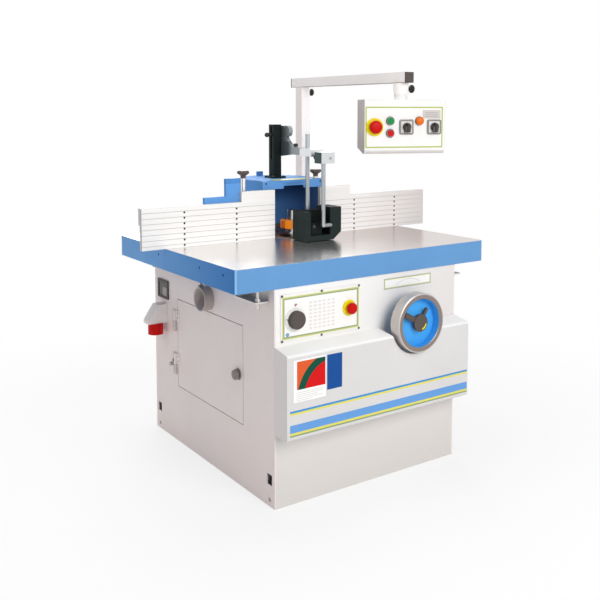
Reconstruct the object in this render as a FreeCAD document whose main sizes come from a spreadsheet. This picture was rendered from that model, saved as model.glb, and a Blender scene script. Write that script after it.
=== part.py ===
# Spindle moulder: cabinet, table, rising spindle, hood with fence plates, presser and overhead control box.
# Frame: millimetres, +Z up, +Y away from the operator. The origin lies on the floor, on the spindle axis.
import FreeCAD
import Part
import Sketcher
import os
import re

# Driving dimensions

SIZES = {
    # clearances that every fit and every cut shares
    "running_gap": 0.3,
    "cut_overrun": 10,
    # table
    "table_height": 890,
    "table_width": 1200,
    "table_depth": 1000,
    "table_thickness": 86,
    "table_skin": 24,
    "table_skirt": 26,
    "table_rib": 20,
    "table_corner": 14,
    "pad_half": 170,
    "spindle_offset": 27.5,
    "spindle_setback": 567,
    "opening_radius": 105,
    "edge_hole_radius": 5.1,
    "edge_hole_depth": 20,
    "edge_hole_drop": 30,
    "edge_hole_front": 84,
    "edge_hole_middle": 261,
    "edge_hole_rear": 610,
    # insert rings round the spindle
    "ring_seat_radius": 125,
    "ring_step_radius": 95,
    "ring_bore_radius": 68,
    "ring_thickness": 14,
    # cabinet
    "table_overhang": 160,
    "rear_inset": 2,
    "cabinet_inset": 4,
    "sheet_wall": 5,
    "frame_height": 60,
    "frame_width": 40,
    "pan_sheet": 4,
    "slot_width": 34,
    "slot_height": 40,
    "slot_bottom": 80,
    "slot_inset": 18,
    "anchor_radius": 8,
    "anchor_level": 24,
    "vent_width": 220,
    "vent_height": 8,
    "vent_pitch": 24,
    "vent_drop": 504,
    # front cover
    "cover_depth": 82,
    "cover_drop": 209,
    "cover_height": 319,
    "cover_shoulder": 14,
    "cover_sheet": 3,
    "cover_round": 8,
    "scallop_gap": 9,
    # door in the left side
    "door_setback": 218,
    "door_width": 553,
    "door_drop": 560,
    "door_height": 385,
    "door_gap": 3,
    "door_sheet": 4,
    "door_return": 18,
    "hinge_radius": 6,
    "hinge_leaf": 28,
    "hinge_sheet": 3,
    "hinge_length": 92,
    "hinge_inset": 52,
    "hinge_spread": 190,
    "hinge_pin_radius": 2.5,
    "hinge_offset": 14,
    "latch_inset": 36,
    "latch_rise": 190,
    "latch_radius": 20,
    "latch_collar": 23,
    "latch_plate": 3,
    "latch_height": 20,
    "latch_grip": 7,
    # window, spout and power inlet in the left side
    "window_inset": 141,
    "window_width": 103,
    "window_drop": 196,
    "window_height": 82,
    "window_sheet": 6,
    "window_frame": 11,
    "pane_recess": 3,
    "spout_setback": 487,
    "spout_drop": 120,
    "spout_radius": 47,
    "spout_wall": 3,
    "spout_reach": 42,
    "spout_flange": 10,
    "inlet_inset": 122,
    "inlet_width": 52,
    "inlet_drop": 299,
    "inlet_height": 82,
    "inlet_reach": 90,
    "inlet_crown": 45,
    "collar_length": 50,
    "inlet_brow": 14,
    "collar_radius": 33,
    "collar_bore": 27,
    "collar_axis": 45,
    # brackets that carry the table's overhang
    "bracket_setback": 28,
    "bracket_run": 150,
    "bracket_reach": 60,
    "bracket_drop": 52,
    "bracket_sheet": 6,
    "jack_radius": 6,
    "jack_drop": 22,
    "jack_head": 10,
    # front controls
    "plate_inset": 24,
    "plate_width": 354,
    "plate_drop": 196,
    "plate_height": 173,
    "plate_sheet": 3,
    "dial_inset": 62.5,
    "dial_rise_on_plate": 78,
    "dial_radius": 33,
    "dial_bezel": 44,
    "dial_rise": 4,
    "dial_height": 20,
    "dial_flute": 2.4,
    "stop_inset": 305.5,
    "stop_rise_on_plate": 89,
    "stop_collar": 30,
    "stop_cap": 22,
    # handwheel and its shaft
    "wheel_offset": 132.5,
    "wheel_drop": 184,
    "wheel_radius": 115,
    "wheel_depth": 50,
    "wheel_rim": 22,
    "wheel_standoff": 59,
    "wheel_hub": 30,
    "wheel_web": 8,
    "wheel_dish": 10,
    "wheel_round": 4,
    "crank_cap": 34,
    "crank_rise": 12,
    "crank_arm": 22,
    "crank_grip": 12,
    "crank_reach": 86,
    "crank_fold": 64,
    "crank_angle": 152,
    "fold_angle": 57,
    "drive_radius": 12.5,
    # lift: guide bracket, screw, bevel gears
    "guide_flange": 24,
    "guide_half": 150,
    "guide_plate": 40,
    "guide_setback": 110,
    "guide_drop": 494,
    "way_half": 92,
    "way_width": 40,
    "way_depth": 25,
    "screw_setback": 40,
    "screw_radius": 12,
    "lug_thickness": 20,
    "lug_half": 24,
    "lug_inset": 10,
    "cheek_thickness": 15,
    "cheek_gap": 42,
    "bearing_length": 28,
    "gear_radius": 30,
    "gear_face": 16,
    "gear_hub": 12,
    "gear_tooth": 4,
    # carriage with the spindle housing and the motor plate
    "quill_radius": 75,
    "quill_length": 250,
    "quill_drop": 70,
    "carriage_plate": 15,
    "carriage_drop": 364,
    "carriage_height": 295,
    "nut_inset": 35,
    "nut_height": 30,
    "motor_shelf": 15,
    # spindle
    "journal_radius": 35,
    "arbor_radius": 25,
    "tail_radius": 22,
    "tail_inset": 40,
    "shoulder_rise": 10,
    "shoulder_radius": 42,
    "shoulder_height": 10,
    "arbor_length": 86,
    "cutter_radius": 62.5,
    "cutter_lift": 14,
    "cutter_height": 34,
    "knife_thickness": 4,
    "knife_proud": 1.5,
    "gullet_width": 16,
    "gullet_depth": 14,
    "spacer_radius": 33,
    "spacer_height": 26,
    "nut_radius": 33,
    "nut_rise": 18,
    # belt drive
    "motor_offset": 250,
    "motor_radius": 84,
    "motor_fin": 9,
    "motor_length": 240,
    "motor_bell": 34,
    "motor_shaft_radius": 19,
    "terminal_width": 90,
    "terminal_depth": 42,
    "terminal_height": 100,
    "pulley_inset": 44,
    "pulley_step": 24,
    "spindle_sheave": 50,
    "motor_sheave": 80,
    "sheave_change": 10,
    "belt_width": 20,
    "belt_thickness": 5,
    # fence hood, carriers and plates
    "fence_lead": 27,
    "fence_opening": 239,
    "fence_length": 610,
    "fence_rise": 164,
    "fence_step_length": 164,
    "fence_step_rise": 43,
    "fence_thickness": 18,
    "groove_width": 2.2,
    "groove_depth": 1.6,
    "groove_first": 14.2,
    "groove_pitch": 21.7,
    "fence_hole_radius": 3.3,
    "fence_hole_first": 9.2,
    "fence_hole_inner": 188,
    "fence_hole_spread": 239,
    "rail_depth": 12,
    "rail_height": 66,
    "rail_length": 226,
    "carrier_thickness": 16,
    "carrier_reach": 446,
    "carrier_rise": 189,
    "carrier_inset": 20,
    "carrier_block_left": 347,
    "carrier_block_width": 71,
    "carrier_block_rise": 262,
    "right_carrier_reach": 400,
    "right_carrier_rise": 150,
    "hood_radius": 160,
    "hood_straight": 150,
    "hood_wall": 10,
    "hood_roof": 12,
    "hood_rise": 242,
    "fascia_height": 36,
    "notch_half": 52,
    "notch_height": 12,
    "wing_thickness": 14,
    "wing_rise": 145,
    "boss_radius": 16,
    "lug_rise": 18,
    "outlet_radius": 60,
    "outlet_wall": 3,
    "outlet_reach": 50,
    "outlet_rise": 120,
    "crest_width": 28,
    "crest_depth": 14,
    "crest_rise": 20,
    "crest_inset": 12,
    "crest_shift": 5,
    # clamp knobs
    "knob_radius": 25.5,
    "knob_height": 32,
    "stud_radius": 11,
    "left_knob_reach": 246,
    "left_knob_rise": 259,
    "right_knob_reach": 138,
    "right_knob_setback": 30,
    "right_knob_stud": 8,
    # presser
    "column_size": 40,
    "column_height": 239,
    "column_slot": 10,
    "column_slot_height": 146,
    "column_foot": 30,
    "foot_rise": 8,
    "saddle_thickness": 18,
    "saddle_drop": 5,
    "saddle_height": 140,
    "key_height": 60,
    "clamp_rise": 14,
    "clamp_height": 32,
    "clamp_half": 24,
    "head_reach": 61,
    "neck_strip": 63,
    "neck_disc": 24,
    "neck_knob": 8,
    "neck_knob_rise": 14,
    "neck_knob_lead": 34,
    "rod_radius": 9,
    "rear_rod_lead": 97,
    "front_rod_lead": 212,
    "rod_rise": 62,
    "cross_radius": 12,
    "cross_drop": 2,
    "front_clamp_left": 28,
    "front_clamp_drop": 25,
    "front_clamp_height": 46,
    "front_clamp_right": 40,
    "hook_rise": 64,
    "hook_reach": 40,
    "column_knob_drop": 41,
    "column_knob_radius": 14,
    "column_knob_height": 22,
    "shoe_half": 82,
    "shoe_right": 100,
    "shoe_toe": 40,
    "shoe_toe_rise": 32,
    "shoe_upright": 57,
    "shoe_front": 203,
    "shoe_depth": 96,
    "shoe_clear": 2,
    "shoe_height": 123,
    "upright_rise": 14,
    "shoe_sole": 22,
    "recess_left": 57,
    "recess_depth": 62,
    "shoe_slope": 30,
    "shoe_lug": 26,
    "shoe_lug_rise": 110,
    # post and overhead arm
    "post_inset": 49,
    "post_size": 50,
    "post_wall": 4,
    "post_foot": 300,
    "post_rise": 660,
    "post_plug": 70,
    "post_bracket": 10,
    "post_bracket_half": 60,
    "post_bracket_height": 90,
    "post_bracket_inset": 30,
    "post_bracket_drop": 144,
    "arm_size": 45,
    "arm_wall": 3,
    "arm_rear": 66,
    "arm_front": 791,
    "arm_cap": 6,
    "cap_plug": 14,
    "pivot_radius": 17,
    "pivot_length": 55,
    "arm_knob_drop": 24,
    "swivel_knob_radius": 18,
    "swivel_knob_height": 22,
    "swivel_stud": 12,
    # control box
    "box_reach": 740,
    "box_turn_angle": 20,
    "box_width": 366,
    "box_depth": 90,
    "box_drop": 71,
    "box_height": 229,
    "box_shift": 4,
    "box_wall": 3,
    "box_lip": 14,
    "box_rake": 24,
    "sleeve_radius": 33,
    "sleeve_length": 48,
    "sleeve_bore": 24,
    "spigot_collar": 29,
    "box_row": 116,
    "box_stop_share": 0.125,
    "box_button_share": 0.315,
    "box_plate_share": 0.515,
    "box_lamp_share": 0.674,
    "box_second_share": 0.86,
    "button_spread": 26,
    "box_stop_collar": 38,
    "box_stop_cap": 28,
    "collar_rise": 8,
    "stop_stem": 12,
    "stop_lift": 7,
    "stop_height": 18,
    "button_radius": 19,
    "button_cap": 14,
    "bezel_rise": 9,
    "button_sink": 5,
    "button_height": 8,
    "selector_plate": 64,
    "selector_sheet": 5,
    "selector_round": 8,
    "selector_radius": 18,
    "selector_height": 10,
    "selector_grip": 9,
    "selector_rise": 22,
}

doc = FreeCAD.newDocument("spindle_moulder")
sheet = doc.addObject("Spreadsheet::Sheet", "sizes")
for row, (alias, size) in enumerate(SIZES.items(), start=1):
    sheet.set(f"A{row}", alias)
    sheet.set(f"B{row}", str(size))
    sheet.setAlias(f"B{row}", alias)
doc.recompute()

# Places that several pieces share, as formulas of the driving dimensions

PLACES = {
    "cabinet_width": "(table_width - 2 * table_overhang)",
    "cabinet_depth": "(table_depth - cabinet_inset - rear_inset)",
    "table_under": "(table_height - table_thickness)",
    "vent_bottom": "(table_under - vent_drop)",
    "cover_top": "(table_under - cover_drop)",
    "cover_bottom": "(cover_top - cover_height)",
    "door_bottom": "(table_under - door_drop)",
    "hinge_low": "(door_bottom + hinge_inset)",
    "hinge_high": "(hinge_low + hinge_spread)",
    "latch_level": "(door_bottom + latch_rise)",
    "window_bottom": "(table_under - window_drop)",
    "spout_level": "(table_under - spout_drop)",
    "inlet_bottom": "(table_under - inlet_drop)",
    "bracket_level": "(table_under - bracket_drop)",
    "plate_bottom": "(table_under - plate_drop)",
    "dial_level": "(plate_bottom + dial_rise_on_plate)",
    "stop_level": "(plate_bottom + stop_rise_on_plate)",
    "wheel_level": "(table_under - wheel_drop)",
    "guide_foot": "(table_under - guide_drop)",
    "lug_low": "(guide_foot + lug_inset)",
    "quill_top": "(table_height - quill_drop)",
    "quill_bottom": "(quill_top - quill_length)",
    "carriage_bottom": "(table_under - carriage_drop)",
    "carriage_top": "(carriage_bottom + carriage_height)",
    "nut_level": "(carriage_bottom + nut_inset)",
    "tail_bottom": "(carriage_bottom + tail_inset)",
    "pulley_bottom": "(carriage_bottom + pulley_inset)",
    "shoulder_level": "(table_height + shoulder_rise)",
    "shoulder_top": "(shoulder_level + shoulder_height)",
    "cutter_level": "(shoulder_top + cutter_lift)",
    "arbor_top": "(shoulder_top + arbor_length)",
    "arbor_bore": "(arbor_radius + running_gap)",
    "outlet_level": "(table_height + outlet_rise)",
    "left_knob_level": "(table_height + left_knob_rise)",
    "hood_top": "(table_height + running_gap + hood_rise)",
    "column_top": "(hood_top + column_height)",
    "column_slot_bottom": "(column_top - column_slot - column_slot_height)",
    "saddle_top": "(column_top - saddle_drop)",
    "saddle_bottom": "(saddle_top - saddle_height)",
    "clamp_level": "(saddle_bottom + clamp_rise)",
    "rear_rod_top": "(clamp_level + clamp_height + rod_rise)",
    "front_clamp_bottom": "(clamp_level - front_clamp_drop)",
    "hook_level": "(table_height + shoe_clear + hook_rise)",
    "column_knob_level": "(saddle_top - column_knob_drop)",
    "post_offset": "(cabinet_width / 2 - spindle_offset - post_inset)",
    "post_bottom": "post_foot",
    "post_top": "(table_height + post_rise)",
    "post_bracket_low": "(post_foot + post_bracket_inset)",
    "post_bracket_high": "(table_under - post_bracket_drop)",
    "arm_knob_level": "(post_top - arm_knob_drop)",
    "box_top": "(post_top - box_drop)",
}

TABLE_LEFT = "(-table_width / 2 - spindle_offset)"
TABLE_FRONT = "(-spindle_setback)"
TABLE_UNDER = "table_under"
CABINET_LEFT = "(-cabinet_width / 2 - spindle_offset)"
CABINET_RIGHT = "(cabinet_width / 2 - spindle_offset)"
CABINET_FRONT = "(cabinet_inset - spindle_setback)"
CABINET_BACK = f"({CABINET_FRONT} + cabinet_depth)"
DOOR_FRONT = f"({CABINET_FRONT} + door_setback)"
DOOR_BACK = f"({DOOR_FRONT} + door_width)"
HINGE_X = f"({CABINET_LEFT} - hinge_radius - running_gap)"
HINGE_Y = f"({DOOR_BACK} + hinge_offset)"
COVER_FRONT = f"({CABINET_FRONT} - cover_depth)"
PLATE_LEFT = f"({CABINET_LEFT} + plate_inset)"
PLATE_FRONT = f"({CABINET_FRONT} - plate_sheet)"
WHEEL_BACK = f"({CABINET_FRONT} - wheel_standoff)"
FENCE_BASE = "(table_height + running_gap)"
FENCE_BACK = "(fence_thickness - fence_lead)"
CARRIER_FRONT = f"({FENCE_BACK} + running_gap)"
HOOD_FRONT = f"({CARRIER_FRONT} + carrier_thickness)"
HOOD_CENTRE = f"({HOOD_FRONT} + hood_straight)"
HOOD_TOP = "hood_top"
SADDLE_LEFT = "(column_size / 2 + running_gap)"
SHOE_BASE = "(table_height + shoe_clear)"
POST_CENTRE = f"({CABINET_BACK} + post_bracket + post_size / 2)"
ARM_BASE = "(post_top + running_gap)"
BOX_CENTRE = f"({POST_CENTRE} - box_reach)"
BOX_FACE = "(-box_depth / 2)"
BOX_LEFT = "(box_shift - box_width / 2)"
BOX_ROW = "(box_top - box_row)"
SLEEVE_END = f"({ARM_BASE} - sleeve_length)"
WAY_FRONT = "(guide_setback - way_depth)"
CARRIAGE_FRONT = f"({WAY_FRONT} - running_gap - carriage_plate)"
CHEEK_LEFT = "(wheel_offset + cheek_gap)"
LUG_HIGH = "(wheel_level - gear_radius - gear_hub - running_gap - lug_thickness)"

# Formulas, places and simple solids

WORD = re.compile(r"\b[a-z]+(?:_[a-z0-9]+)+\b")
UP = FreeCAD.Rotation()
TURN = {
    "+z": UP,
    "-z": FreeCAD.Rotation(FreeCAD.Vector(1, 0, 0), 180),
    "+x": FreeCAD.Rotation(FreeCAD.Vector(0, 1, 0), 90),
    "-x": FreeCAD.Rotation(FreeCAD.Vector(0, 1, 0), -90),
    "+y": FreeCAD.Rotation(FreeCAD.Vector(1, 0, 0), -90),
    "-y": FreeCAD.Rotation(FreeCAD.Vector(1, 0, 0), 90),
}
TOLERANCE = 1e-6
nodes = []


def formula(text):
    """Spells out the places in a formula and puts the sheet's name before every driving dimension."""
    spelled = WORD.sub(lambda found: PLACES.get(found.group(0), found.group(0)), text)
    if spelled != text:
        return formula(spelled)
    return WORD.sub(lambda found: "sizes." + found.group(0), text)


def value(text):
    """The number that a formula gives now."""
    number = sheet.evalExpression(formula(text))
    return float(getattr(number, "Value", number))


def place(solid, x="0", y="0", z="0", along="+z"):
    """Ties a solid's place to formulas and turns its own Z axis along one of the main directions."""
    solid.Placement = FreeCAD.Placement(FreeCAD.Vector(), TURN[along])
    for axis, text in zip("xyz", (x, y, z)):
        solid.setExpression(f"Placement.Base.{axis}", formula(text))
    return solid


def box(x, y, z, length, width, height):
    """A block from its lowest corner and its three sizes."""
    solid = doc.addObject("Part::Box", "block")
    for size, text in (("Length", length), ("Width", width), ("Height", height)):
        solid.setExpression(size, formula(text))
    return place(solid, x, y, z)


def rod(x, y, z, radius, length, along="+z"):
    """A round bar that starts at a point and runs along one of the main directions."""
    solid = doc.addObject("Part::Cylinder", "bar")
    solid.setExpression("Radius", formula(radius))
    solid.setExpression("Height", formula(length))
    return place(solid, x, y, z, along)


def fuse(*solids):
    """Joins solids into one piece."""
    joined = doc.addObject("Part::MultiFuse", "joined")
    joined.Shapes = list(solids)
    return joined


def cut(base, *tools):
    """Takes the tools away from a solid."""
    carved = doc.addObject("Part::Cut", "carved")
    carved.Base = base
    carved.Tool = tools[0] if len(tools) == 1 else fuse(*tools)
    return carved


def group(*solids):
    """Keeps solids apart in one node."""
    several = doc.addObject("Part::Compound", "several")
    several.Links = list(solids)
    return several


def node(label, solid):
    """Names a finished piece."""
    solid.Label = label
    nodes.append(solid)
    return solid


# Sketched features

def new_body(name):
    return doc.addObject("PartDesign::Body", name)


def new_sketch(body, plane, start="0"):
    """An empty sketch on one of the body's own planes, moved along its normal to a start."""
    drawing = body.newObject("Sketcher::SketchObject", "drawing")
    role = plane + "_Plane"
    drawing.AttachmentSupport = [(next(f for f in body.Origin.OriginFeatures if f.Role == role), "")]
    drawing.MapMode = "FlatFace"
    sign = "-" if plane == "XZ" else ""
    drawing.setExpression("AttachmentOffset.Base.z", formula(f"{sign}({start})"))
    return drawing


def tie(drawing, kind, geometry, point, text):
    """Ties one coordinate of a drawn point to a formula."""
    number = drawing.addConstraint(Sketcher.Constraint(kind, geometry, point, value(text)))
    drawing.setExpression(f"Constraints[{number}]", formula(text))


def draw_outline(drawing, points):
    """Adds a closed outline of straight lines through points that formulas give."""
    corners = [FreeCAD.Vector(value(u), value(v), 0) for u, v in points]
    first = drawing.GeometryCount
    count = len(points)
    drawing.addGeometry([Part.LineSegment(corners[i], corners[(i + 1) % count]) for i in range(count)])
    for i in range(count):
        follower = first + (i + 1) % count
        drawing.addConstraint(Sketcher.Constraint("Coincident", first + i, 2, follower, 1))
    for i, (u, v) in enumerate(points):
        tie(drawing, "DistanceX", first + i, 1, u)
        tie(drawing, "DistanceY", first + i, 1, v)


def draw_circle(drawing, u, v, radius):
    """Adds a circle whose centre and radius are formulas."""
    middle = FreeCAD.Vector(value(u), value(v), 0)
    number = drawing.addGeometry(Part.Circle(middle, FreeCAD.Vector(0, 0, 1), value(radius)))
    tie(drawing, "DistanceX", number, 3, u)
    tie(drawing, "DistanceY", number, 3, v)
    ring = drawing.addConstraint(Sketcher.Constraint("Radius", number, value(radius)))
    drawing.setExpression(f"Constraints[{ring}]", formula(radius))


def pad(body, plane, points, start, length):
    """Extrudes an outline from a start, along the positive direction of the plane's normal axis."""
    drawing = new_sketch(body, plane, start)
    draw_outline(drawing, points)
    feature = body.newObject("PartDesign::Pad", "pad")
    feature.Profile = drawing
    feature.setExpression("Length", formula(length))
    feature.Reversed = plane == "XZ"
    doc.recompute()
    return feature


def lathe(name, points):
    """A body turned about its own Z axis from an outline of radius and height."""
    body = new_body(name)
    drawing = new_sketch(body, "XZ")
    draw_outline(drawing, points)
    feature = body.newObject("PartDesign::Revolution", "turning")
    feature.Profile = drawing
    feature.ReferenceAxis = (drawing, ["V_Axis"])
    feature.Angle = 360
    doc.recompute()
    return body


def notch_round(body, u, v, radius, start, length, count):
    """Cuts a round notch at u, v and repeats it round the body's own Z axis."""
    drawing = new_sketch(body, "XY", start)
    draw_circle(drawing, u, v, radius)
    return pocket_round(body, drawing, length, count)


def pocket_round(body, drawing, length, count):
    """Cuts a drawing upwards through the body and repeats the cut round its own Z axis."""
    before = body.Shape.Volume
    feature = body.newObject("PartDesign::Pocket", "notch")
    feature.Profile = drawing
    feature.setExpression("Length", formula(length))
    feature.Reversed = True
    return repeat_round(body, feature, drawing, count, before)


def repeat_round(body, feature, drawing, count, before):
    """Repeats a feature round the body's own Z axis and makes sure that it changed the solid."""
    doc.recompute()
    ring = body.newObject("PartDesign::PolarPattern", "ring")
    ring.Originals = [feature]
    ring.Axis = (drawing, ["N_Axis"])
    ring.Angle = 360
    ring.Occurrences = count
    body.Tip = ring
    doc.recompute()
    if abs(body.Shape.Volume - before) < 1:
        raise RuntimeError(body.Name + " was not changed by its pattern")
    return body


def round_edges(body, radius, chosen):
    """Rounds the edges of a body's last feature that a test of the edge picks."""
    base = body.Tip
    names = [f"Edge{i}" for i, edge in enumerate(base.Shape.Edges, start=1) if chosen(edge)]
    feature = body.newObject("PartDesign::Fillet", "rounding")
    feature.Base = (base, names)
    feature.setExpression("Radius", formula(radius))
    doc.recompute()
    return body


def upright(edge):
    """True for an edge that runs along Z."""
    span = edge.BoundBox.DiagonalLength
    return span > 0 and abs(edge.BoundBox.ZLength - span) < TOLERANCE


def rectangle(left, bottom, right, top):
    return [(left, bottom), (right, bottom), (right, top), (left, top)]


# Table and its rings

def make_table():
    body = new_body("table_casting")
    right = f"({TABLE_LEFT} + table_width)"
    back = f"({TABLE_FRONT} + table_depth)"
    pad(body, "XY", rectangle(TABLE_LEFT, TABLE_FRONT, right, back), TABLE_UNDER, "table_thickness")
    round_edges(body, "table_corner", upright)
    deep = f"{TABLE_UNDER} - cut_overrun"
    height = "table_thickness - table_skin + cut_overrun"
    rib = "table_rib / 2"
    bays_x = [
        (f"({TABLE_LEFT} + table_skirt)", f"(-pad_half - {rib})"),
        (f"(-pad_half + {rib})", f"(pad_half - {rib})"),
        (f"(pad_half + {rib})", f"({right} - table_skirt)"),
    ]
    bays_y = [
        (f"({TABLE_FRONT} + table_skirt)", f"(-pad_half - {rib})"),
        (f"(-pad_half + {rib})", f"(pad_half - {rib})"),
        (f"(pad_half + {rib})", f"({back} - table_skirt)"),
    ]
    hollows = []
    for i, (x0, x1) in enumerate(bays_x):
        for j, (y0, y1) in enumerate(bays_y):
            if (i, j) != (1, 1):
                hollows.append(box(x0, y0, deep, f"{x1} - {x0}", f"{y1} - {y0}", height))
    opening = rod("0", "0", deep, "opening_radius", "table_thickness + 2 * cut_overrun")
    seat = rod("0", "0", "table_height - ring_thickness", "ring_seat_radius",
               "ring_thickness + cut_overrun")
    level = "table_height - edge_hole_drop"
    holes = [
        rod(TABLE_LEFT, f"{TABLE_FRONT} + {setback}", level, "edge_hole_radius", "edge_hole_depth", "+x")
        for setback in ("edge_hole_front", "edge_hole_middle", "edge_hole_rear")
    ]
    node("table", cut(body, opening, seat, *hollows, *holes))


def make_rings():
    low = "table_height - ring_thickness"
    outer = lathe("outer_ring", rectangle(
        "ring_step_radius", low, "ring_seat_radius - running_gap", "table_height"))
    inner = lathe("inner_ring", rectangle(
        "ring_bore_radius", low, "ring_step_radius - running_gap", "table_height"))
    node("table_rings", group(outer, inner))


# Cabinet

def side_slots(x):
    """Openings for lifting bars and floor bolts near the foot of a side panel."""
    near = f"{CABINET_FRONT} + slot_inset"
    far = f"{CABINET_BACK} - slot_inset - slot_width"
    start = f"{x} - cut_overrun"
    through = "sheet_wall + 2 * cut_overrun"
    tools = []
    for y in (near, far):
        tools.append(box(start, y, "slot_bottom", through, "slot_width", "slot_height"))
        tools.append(rod(start, f"{y} + slot_width / 2", "anchor_level", "anchor_radius", through, "+x"))
    return tools


def make_cabinet():
    inside_width = "cabinet_width - 2 * sheet_wall"
    inside_left = f"({CABINET_LEFT} + sheet_wall)"
    outside = f"{CABINET_LEFT} - cut_overrun"
    through = "sheet_wall + 2 * cut_overrun"

    left = box(CABINET_LEFT, CABINET_FRONT, "0", "sheet_wall", "cabinet_depth", TABLE_UNDER)
    door_hole = box(outside, DOOR_FRONT, "door_bottom", through, "door_width", "door_height")
    spout_hole = rod(outside, f"{CABINET_FRONT} + spout_setback", "spout_level", "spout_radius", through,
                     "+x")
    window_hole = box(outside, f"{CABINET_BACK} - window_inset + window_frame",
                      "window_bottom + window_frame",
                      through, "window_width - 2 * window_frame", "window_height - 2 * window_frame")
    node("left_side_panel", cut(left, door_hole, spout_hole, window_hole, *side_slots(CABINET_LEFT)))

    right_start = f"({CABINET_RIGHT} - sheet_wall)"
    right = box(right_start, CABINET_FRONT, "0", "sheet_wall", "cabinet_depth", TABLE_UNDER)
    node("right_side_panel", cut(right, *side_slots(right_start)))

    front = box(inside_left, CABINET_FRONT, "0", inside_width, "sheet_wall", TABLE_UNDER)
    shaft_hole = rod("wheel_offset", f"{CABINET_FRONT} - cut_overrun", "wheel_level",
                     "drive_radius + running_gap", through, "+y")
    node("front_panel", cut(front, shaft_hole))

    rear_start = f"({CABINET_BACK} - sheet_wall)"
    rear = box(inside_left, rear_start, "0", inside_width, "sheet_wall", TABLE_UNDER)
    vents = []
    for column_share in (-0.5, 0.5):
        for step in range(8):
            middle = f"({CABINET_LEFT} + cabinet_width / 2 + {column_share} * 1.6 * vent_width)"
            vents.append(box(f"{middle} - vent_width / 2", f"{rear_start} - cut_overrun",
                             f"vent_bottom + {step} * vent_pitch", "vent_width", through, "vent_height"))
    node("rear_cover", cut(rear, *vents))

    frame_front = f"({CABINET_FRONT} + sheet_wall)"
    frame_depth = "(cabinet_depth - 2 * sheet_wall)"
    ring = box(inside_left, frame_front, "0", inside_width, frame_depth, "frame_height")
    well = box(f"{inside_left} + frame_width", f"{frame_front} + frame_width", "pan_sheet",
               f"{inside_width} - 2 * frame_width", f"{frame_depth} - 2 * frame_width", "frame_height")
    bolts = []
    for y in (f"{CABINET_FRONT} + slot_inset + slot_width / 2",
              f"{CABINET_BACK} - slot_inset - slot_width / 2"):
        for x in (CABINET_LEFT, f"{CABINET_RIGHT} - sheet_wall - frame_width"):
            bolts.append(rod(x, y, "anchor_level", "anchor_radius", "frame_width + 2 * sheet_wall", "+x"))
    node("base_frame", cut(ring, well, *bolts))


def cover_profile(sheet_offset):
    """Side view of the front cover, drawn in by a wall."""
    front = f"{COVER_FRONT} + {sheet_offset}"
    return [
        (f"{CABINET_FRONT} + ({sheet_offset}) * cut_overrun", f"cover_bottom + {sheet_offset}"),
        (front, f"cover_bottom + {sheet_offset}"),
        (front, f"cover_top - cover_shoulder - {sheet_offset}"),
        (f"{CABINET_FRONT} + ({sheet_offset}) * cut_overrun", f"cover_top - {sheet_offset}"),
    ]


def make_front_cover():
    outside = new_body("cover_outside")
    pad(outside, "YZ", cover_profile("0 * cover_sheet"), CABINET_LEFT, "cabinet_width")
    front_edges = value(COVER_FRONT)
    round_edges(outside, "cover_round", lambda edge: (
        abs(edge.BoundBox.YMin - front_edges) < TOLERANCE
        and abs(edge.BoundBox.YMax - front_edges) < TOLERANCE
        and edge.BoundBox.XLength > edge.BoundBox.ZLength))
    inside = new_body("cover_inside")
    pad(inside, "YZ", cover_profile("cover_sheet"), f"{CABINET_LEFT} + cover_sheet",
        "cabinet_width - 2 * cover_sheet")
    well_start = f"{COVER_FRONT} - cut_overrun"
    well_length = "cover_depth + cut_overrun"
    well = rod("wheel_offset", well_start, "wheel_level", "wheel_radius + scallop_gap", well_length, "+y")
    kept = rod("wheel_offset", well_start, "wheel_level", "wheel_radius + scallop_gap + cover_sheet",
               f"{well_length} + 2 * cut_overrun", "+y")
    node("front_cover", cut(outside, well, cut(inside, kept)))


# Left side: door, window, spout, inlet

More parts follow.
